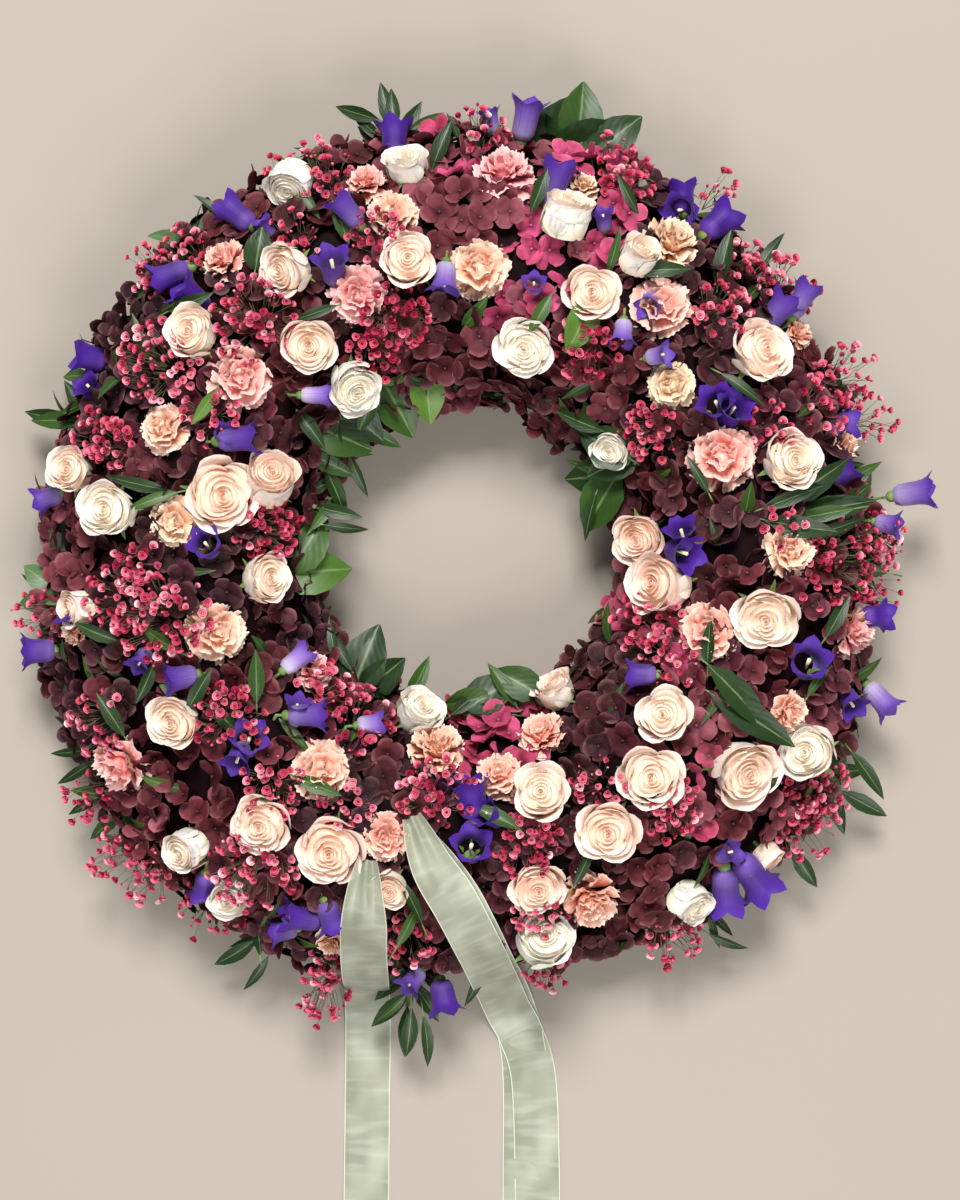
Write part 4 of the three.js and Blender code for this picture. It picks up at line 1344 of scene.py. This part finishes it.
def ruscus_sprig(i, tip, leaves, length):
    """A stem from the foam to its tip, its leaves in turn on both sides."""
    end = at(*tip)
    core = core_below(tip[0], tip[1])
    along = (end - core).normalized()
    side = along.cross(UP).normalized()
    parts = [stalk(STALK, core + along * 10 * MM, end, 5)]
    for k in range(leaves):
        swing = LEAF_SWING * (1 if k % 2 else -1) * (1 if k else 0.1)
        direction = (along * math.cos(swing) + side * math.sin(swing)).normalized()
        face = (UP - along * 0.3).normalized()
        foot = end - along * k * LEAF_STEP * MM
        parts.append(leaf(RUSCUS_LEAF, foot, direction, face, length, DEEP + 0.06 * k))
    ride(joined(f"ruscus_sprig_leaves_{i + 1:02d}", parts), "leaves", f"ruscus_sprig_{i + 1:02d}")


# Rings of collar leaves: side, radius, way (1 outwards, -1 inwards), count, height, length, pitch.
COLLAR_RINGS = (
    ("outer", 316, 1, 132, 26, 44, 8), ("outer", 308, 1, 120, 44, 40, 30),
    ("inner", 146, -1, 56, 28, 34, 4), ("inner", 150, -1, 56, 46, 32, 26),
)


def collar():
    """Leaves round the foot of the bed, outside and in, which hide the tray."""
    rng = random.Random(71)
    found = {"outer": [], "inner": []}
    for side, radius, way, count, height, length, pitch in COLLAR_RINGS:
        for k in range(count):
            turn = 2 * math.pi * (k + rng.uniform(-0.3, 0.3)) / count
            reach = radius + (spill(turn) if way > 0 else 0)
            foot = at(reach * math.cos(turn), reach * math.sin(turn), height + rng.uniform(-6, 6))
            level = math.degrees(turn) + (0 if way > 0 else 180) + rng.uniform(-38, 38)
            direction = heading(level, pitch + rng.uniform(-10, 12))
            size = length * rng.uniform(0.7, 1.1) * (0.62 if way > 0 else 0.8)
            model = rng.choice((SLENDER_LEAF, RUSCUS_LEAF, RUSCUS_LEAF, BROAD_LEAF))
            green = rng.choice((DEEP, DEEP, GREEN, GREY)) + rng.uniform(-0.05, 0.1)
            found[side].append(leaf(model, foot, direction, UP, size, green))
    for side, leaves in found.items():
        ride(joined(f"leaf_collar_{side}", leaves), "leaves")


def beside_a_bloom(x, y):
    """Whether a leaf here would lie over a rose, a carnation or a ribbon."""
    near = any(
        math.hypot(bx - x, by - y) < 16 + 0.5 * across
        for bx, by, across, *rest in ROSES + CARNATIONS
    )
    return near or (y < -200 and -110 < x < 60)


def filling_leaves():
    """Dark leaves that stand between the florets all over the bed."""
    rng = random.Random(81)
    leaves = []
    for place, outward in bed_points(rng, 45, range(-75, 76, 15)):
        sideways = Vector([rng.uniform(-1, 1) for axis in "xyz"])
        direction = (outward * 0.5 + sideways - outward * sideways.dot(outward)).normalized()
        foot = at(*(place - outward * 8))
        length = rng.uniform(27, 42)
        green = rng.uniform(0, 0.45)
        if not beside_a_bloom(place.x, place.y):
            model = rng.choice((SLENDER_LEAF, RUSCUS_LEAF))
            leaves.append(leaf(model, foot, direction, outward, length, green))
    ride(joined("filling_leaves", leaves), "leaves")


lone_leaves()
for i, sprig in enumerate(SPRIGS):
    ruscus_sprig(i, *sprig)
collar()
filling_leaves()

# ---------------------------------------------------------------- ribbons

RIBBON_WIDTH = 38
# Routes along the middle of each ribbon's underside, from its tuck among the blooms to its cut end.
RIBBONS = {
    "left": [
        (-78, -246, 124), (-80, -272, 127), (-81, -298, 117), (-82, -322, 98), (-82, -341, 72),
        (-82, -355, 42), (-82, -369, 16), (-82, -387, 3), (-82, -410, 0), (-83, -500, 0), (-84, -598, 0),
    ],
    "back": [
        (-38, -222, 119), (-16, -258, 126), (-2, -284, 119), (10, -309, 102), (19, -330, 76),
        (26, -347, 44), (32, -361, 17), (39, -380, 3), (46, -404, 0), (50, -440, 0),
        (50, -520, 0), (50, -604, 0),
    ],
    "right": [
        (-42, -212, 122), (-27, -248, 131), (-10, -276, 127), (3, -302, 112), (14, -326, 90),
        (22, -346, 58), (28, -362, 28), (36, -382, 8), (47, -404, 1.6), (57, -440, 1.3),
        (60, -520, 1.3), (60, -592, 1.3),
    ],
}
RIBBON_ROWS = 90
RIBBON_COLUMNS = 10


def smooth_route(points, rows):
    """Evenly spread points on one smooth curve through a route."""
    knots = [Vector(p) for p in points]
    knots = [2 * knots[0] - knots[1], *knots, 2 * knots[-1] - knots[-2]]
    fine = []
    for a, b, c, d in zip(knots, knots[1:], knots[2:], knots[3:]):
        for t in [k / 12 for k in range(12)]:
            fine.append(0.5 * (
                2 * b + (c - a) * t + (2 * a - 5 * b + 4 * c - d) * t**2
                + (3 * b - a - 3 * c + d) * t**3
            ))
    fine.append(knots[-2])
    run = [0.0]
    for a, b in zip(fine, fine[1:]):
        run.append(run[-1] + (b - a).length)
    even = []
    i = 0
    for k in range(rows + 1):
        goal = run[-1] * k / rows
        while i < len(run) - 2 and run[i + 1] < goal:
            i += 1
        even.append(fine[i].lerp(fine[i + 1], (goal - run[i]) / (run[i + 1] - run[i])))
    return even, run[-1]


def ribbon(side, points, phase):
    """A strip of organza along its route: gathered where it is tucked in, rippling where it lies."""
    route, length = smooth_route(points, RIBBON_ROWS)
    deselect()
    bpy.ops.mesh.primitive_grid_add(x_subdivisions=RIBBON_COLUMNS, y_subdivisions=RIBBON_ROWS, size=1)
    strip = bpy.context.object
    bpy.ops.object.transform_apply()
    for vertex in strip.data.vertices:
        share = vertex.co.x
        row = round((vertex.co.y + 0.5) * RIBBON_ROWS)
        here = route[row]
        along = (route[min(row + 1, RIBBON_ROWS)] - route[max(row - 1, 0)]).normalized()
        sideways = along.cross(UP).normalized()
        normal = sideways.cross(along)
        if normal.z < 0 and abs(normal.z) > 0.2:
            normal = -normal
        run = row / RIBBON_ROWS
        tucked = max(0.0, 1 - run / 0.16)
        width = RIBBON_WIDTH * (1 - 0.6 * tucked * tucked)
        gather = 4 * tucked * math.cos(4 * math.pi * share) + 4 * tucked
        ripple = (0.35 + 0.9 * (1 - run)) * math.sin(23 * run + phase + 2.2 * share)
        lift = 1.3 + ripple + 0.5 * math.sin(51 * run + 2 * phase)
        vertex.co = at(*(here + sideways * share * width + normal * (gather + max(lift, 0.25))))
    ride(finished(strip, f"organza_ribbon_{side}", ORGANZA), "organza", f"ribbon_tail_{side}")


for phase, (side, points) in enumerate(RIBBONS.items()):
    ribbon(side, points, 1.7 * phase)

# ---------------------------------------------------------------- tray and foam

TRAY_WALL = 2.5
TRAY_STEPS = 128


def tray():
    """A shallow channel turned round the ring's axis from its cross-section."""
    low, high = (Vector(corner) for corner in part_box("base_tray"))
    outer = (high.x - low.x) / 2
    inner = 2 * RING_RADIUS * MM - outer
    rise = high.z - low.z
    wall = TRAY_WALL * MM
    path = (
        (outer, 0), (outer, rise), (outer - wall, rise), (outer - wall, wall), (inner + wall, wall),
        (inner + wall, rise), (inner, rise), (inner, 0),
    )
    deselect()
    bpy.ops.mesh.primitive_plane_add(size=1 * MM, location=(0, 0, 0))
    piece = bpy.context.object
    editing(piece)
    pick(lambda co: co.x > 0 and co.y > 0)
    bpy.ops.mesh.select_all(action="INVERT")
    bpy.ops.mesh.delete(type="VERT")
    bpy.ops.mesh.select_all(action="SELECT")
    here = Vector((0.5 * MM, 0.5 * MM, 0))
    for i, (radius, height) in enumerate(path):
        goal = CENTRE + Vector((radius, 0, height + low.z))
        if i:
            bpy.ops.mesh.extrude_region_move(TRANSFORM_OT_translate={"value": goal - here})
        else:
            bpy.ops.transform.translate(value=goal - here)
        here = goal
    bpy.ops.mesh.select_all(action="SELECT")
    bpy.ops.mesh.edge_face_add()
    bpy.ops.mesh.select_all(action="SELECT")
    bpy.ops.mesh.delete(type="ONLY_FACE")
    bpy.ops.mesh.select_all(action="SELECT")
    bpy.ops.mesh.spin(steps=TRAY_STEPS, angle=2 * math.pi, center=CENTRE, axis=(0, 0, 1))
    bpy.ops.mesh.select_all(action="SELECT")
    bpy.ops.mesh.remove_doubles(threshold=0.01 * MM)
    bpy.ops.mesh.normals_make_consistent(inside=False)
    edited()
    finished(piece, "tray", tray_finish())
    bpy.ops.object.shade_smooth_by_angle(angle=math.radians(35))
    ride(piece, "tray_plastic", "base_tray")


tray()
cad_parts["foam_ring"].data.materials.clear()
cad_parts["foam_ring"].data.materials.append(foam_finish())

removed(*[model for models in ROSE_MODELS.values() for model in models], *CARNATION_MODELS, *FLORETS)
removed(ROSE_CALYX, CARNATION_CALYX, OPEN_BLOSSOM, FULL_BLOSSOM, BUD, BELL, SHORT_BELL, LONG_BELL)
removed(SLENDER_LEAF, RUSCUS_LEAF, BROAD_LEAF, STALK, FINE_STALK)

# ---------------------------------------------------------------- stage


def floor():
    deselect()
    bpy.ops.mesh.primitive_plane_add(size=12, location=CENTRE - UP * 0.4 * MM)
    plane = bpy.context.object
    bpy.ops.object.transform_apply()
    plane.name = "floor"
    plane.data.materials.append(floor_finish())


def area_light(name, place, size, power, colour):
    lamp = bpy.data.lights.new(name, "AREA")
    lamp.size = size
    lamp.energy = power
    lamp.color = colour
    holder = bpy.data.objects.new(name, lamp)
    holder.location = CENTRE + Vector(place)
    holder.rotation_euler = (-Vector(place)).to_track_quat("-Z", "Y").to_euler()
    bpy.context.scene.collection.objects.link(holder)


def camera():
    lens = bpy.data.cameras.new("camera")
    lens.lens = 90
    lens.sensor_width = 36
    lens.clip_end = 20
    holder = bpy.data.objects.new("camera", lens)
    holder.location = at(12, -38, 2520)
    bpy.context.scene.collection.objects.link(holder)
    bpy.context.scene.camera = holder


def sky(strength, colour):
    world = bpy.data.worlds.new("sky")
    world.use_nodes = True
    background = world.node_tree.nodes["Background"]
    background.inputs["Color"].default_value = colour
    background.inputs["Strength"].default_value = strength
    bpy.context.scene.world = world


floor()
area_light("window", (-0.2, 4.4, 6.4), 2.7, 810, (1.0, 0.985, 0.97))
area_light("fill", (1.2, -4.4, 4.6), 3.0, 270, (1.0, 0.985, 0.97))
sky(0.31, (0.98, 0.98, 1.0, 1))
camera()
bpy.context.scene.view_settings.view_transform = "Standard"
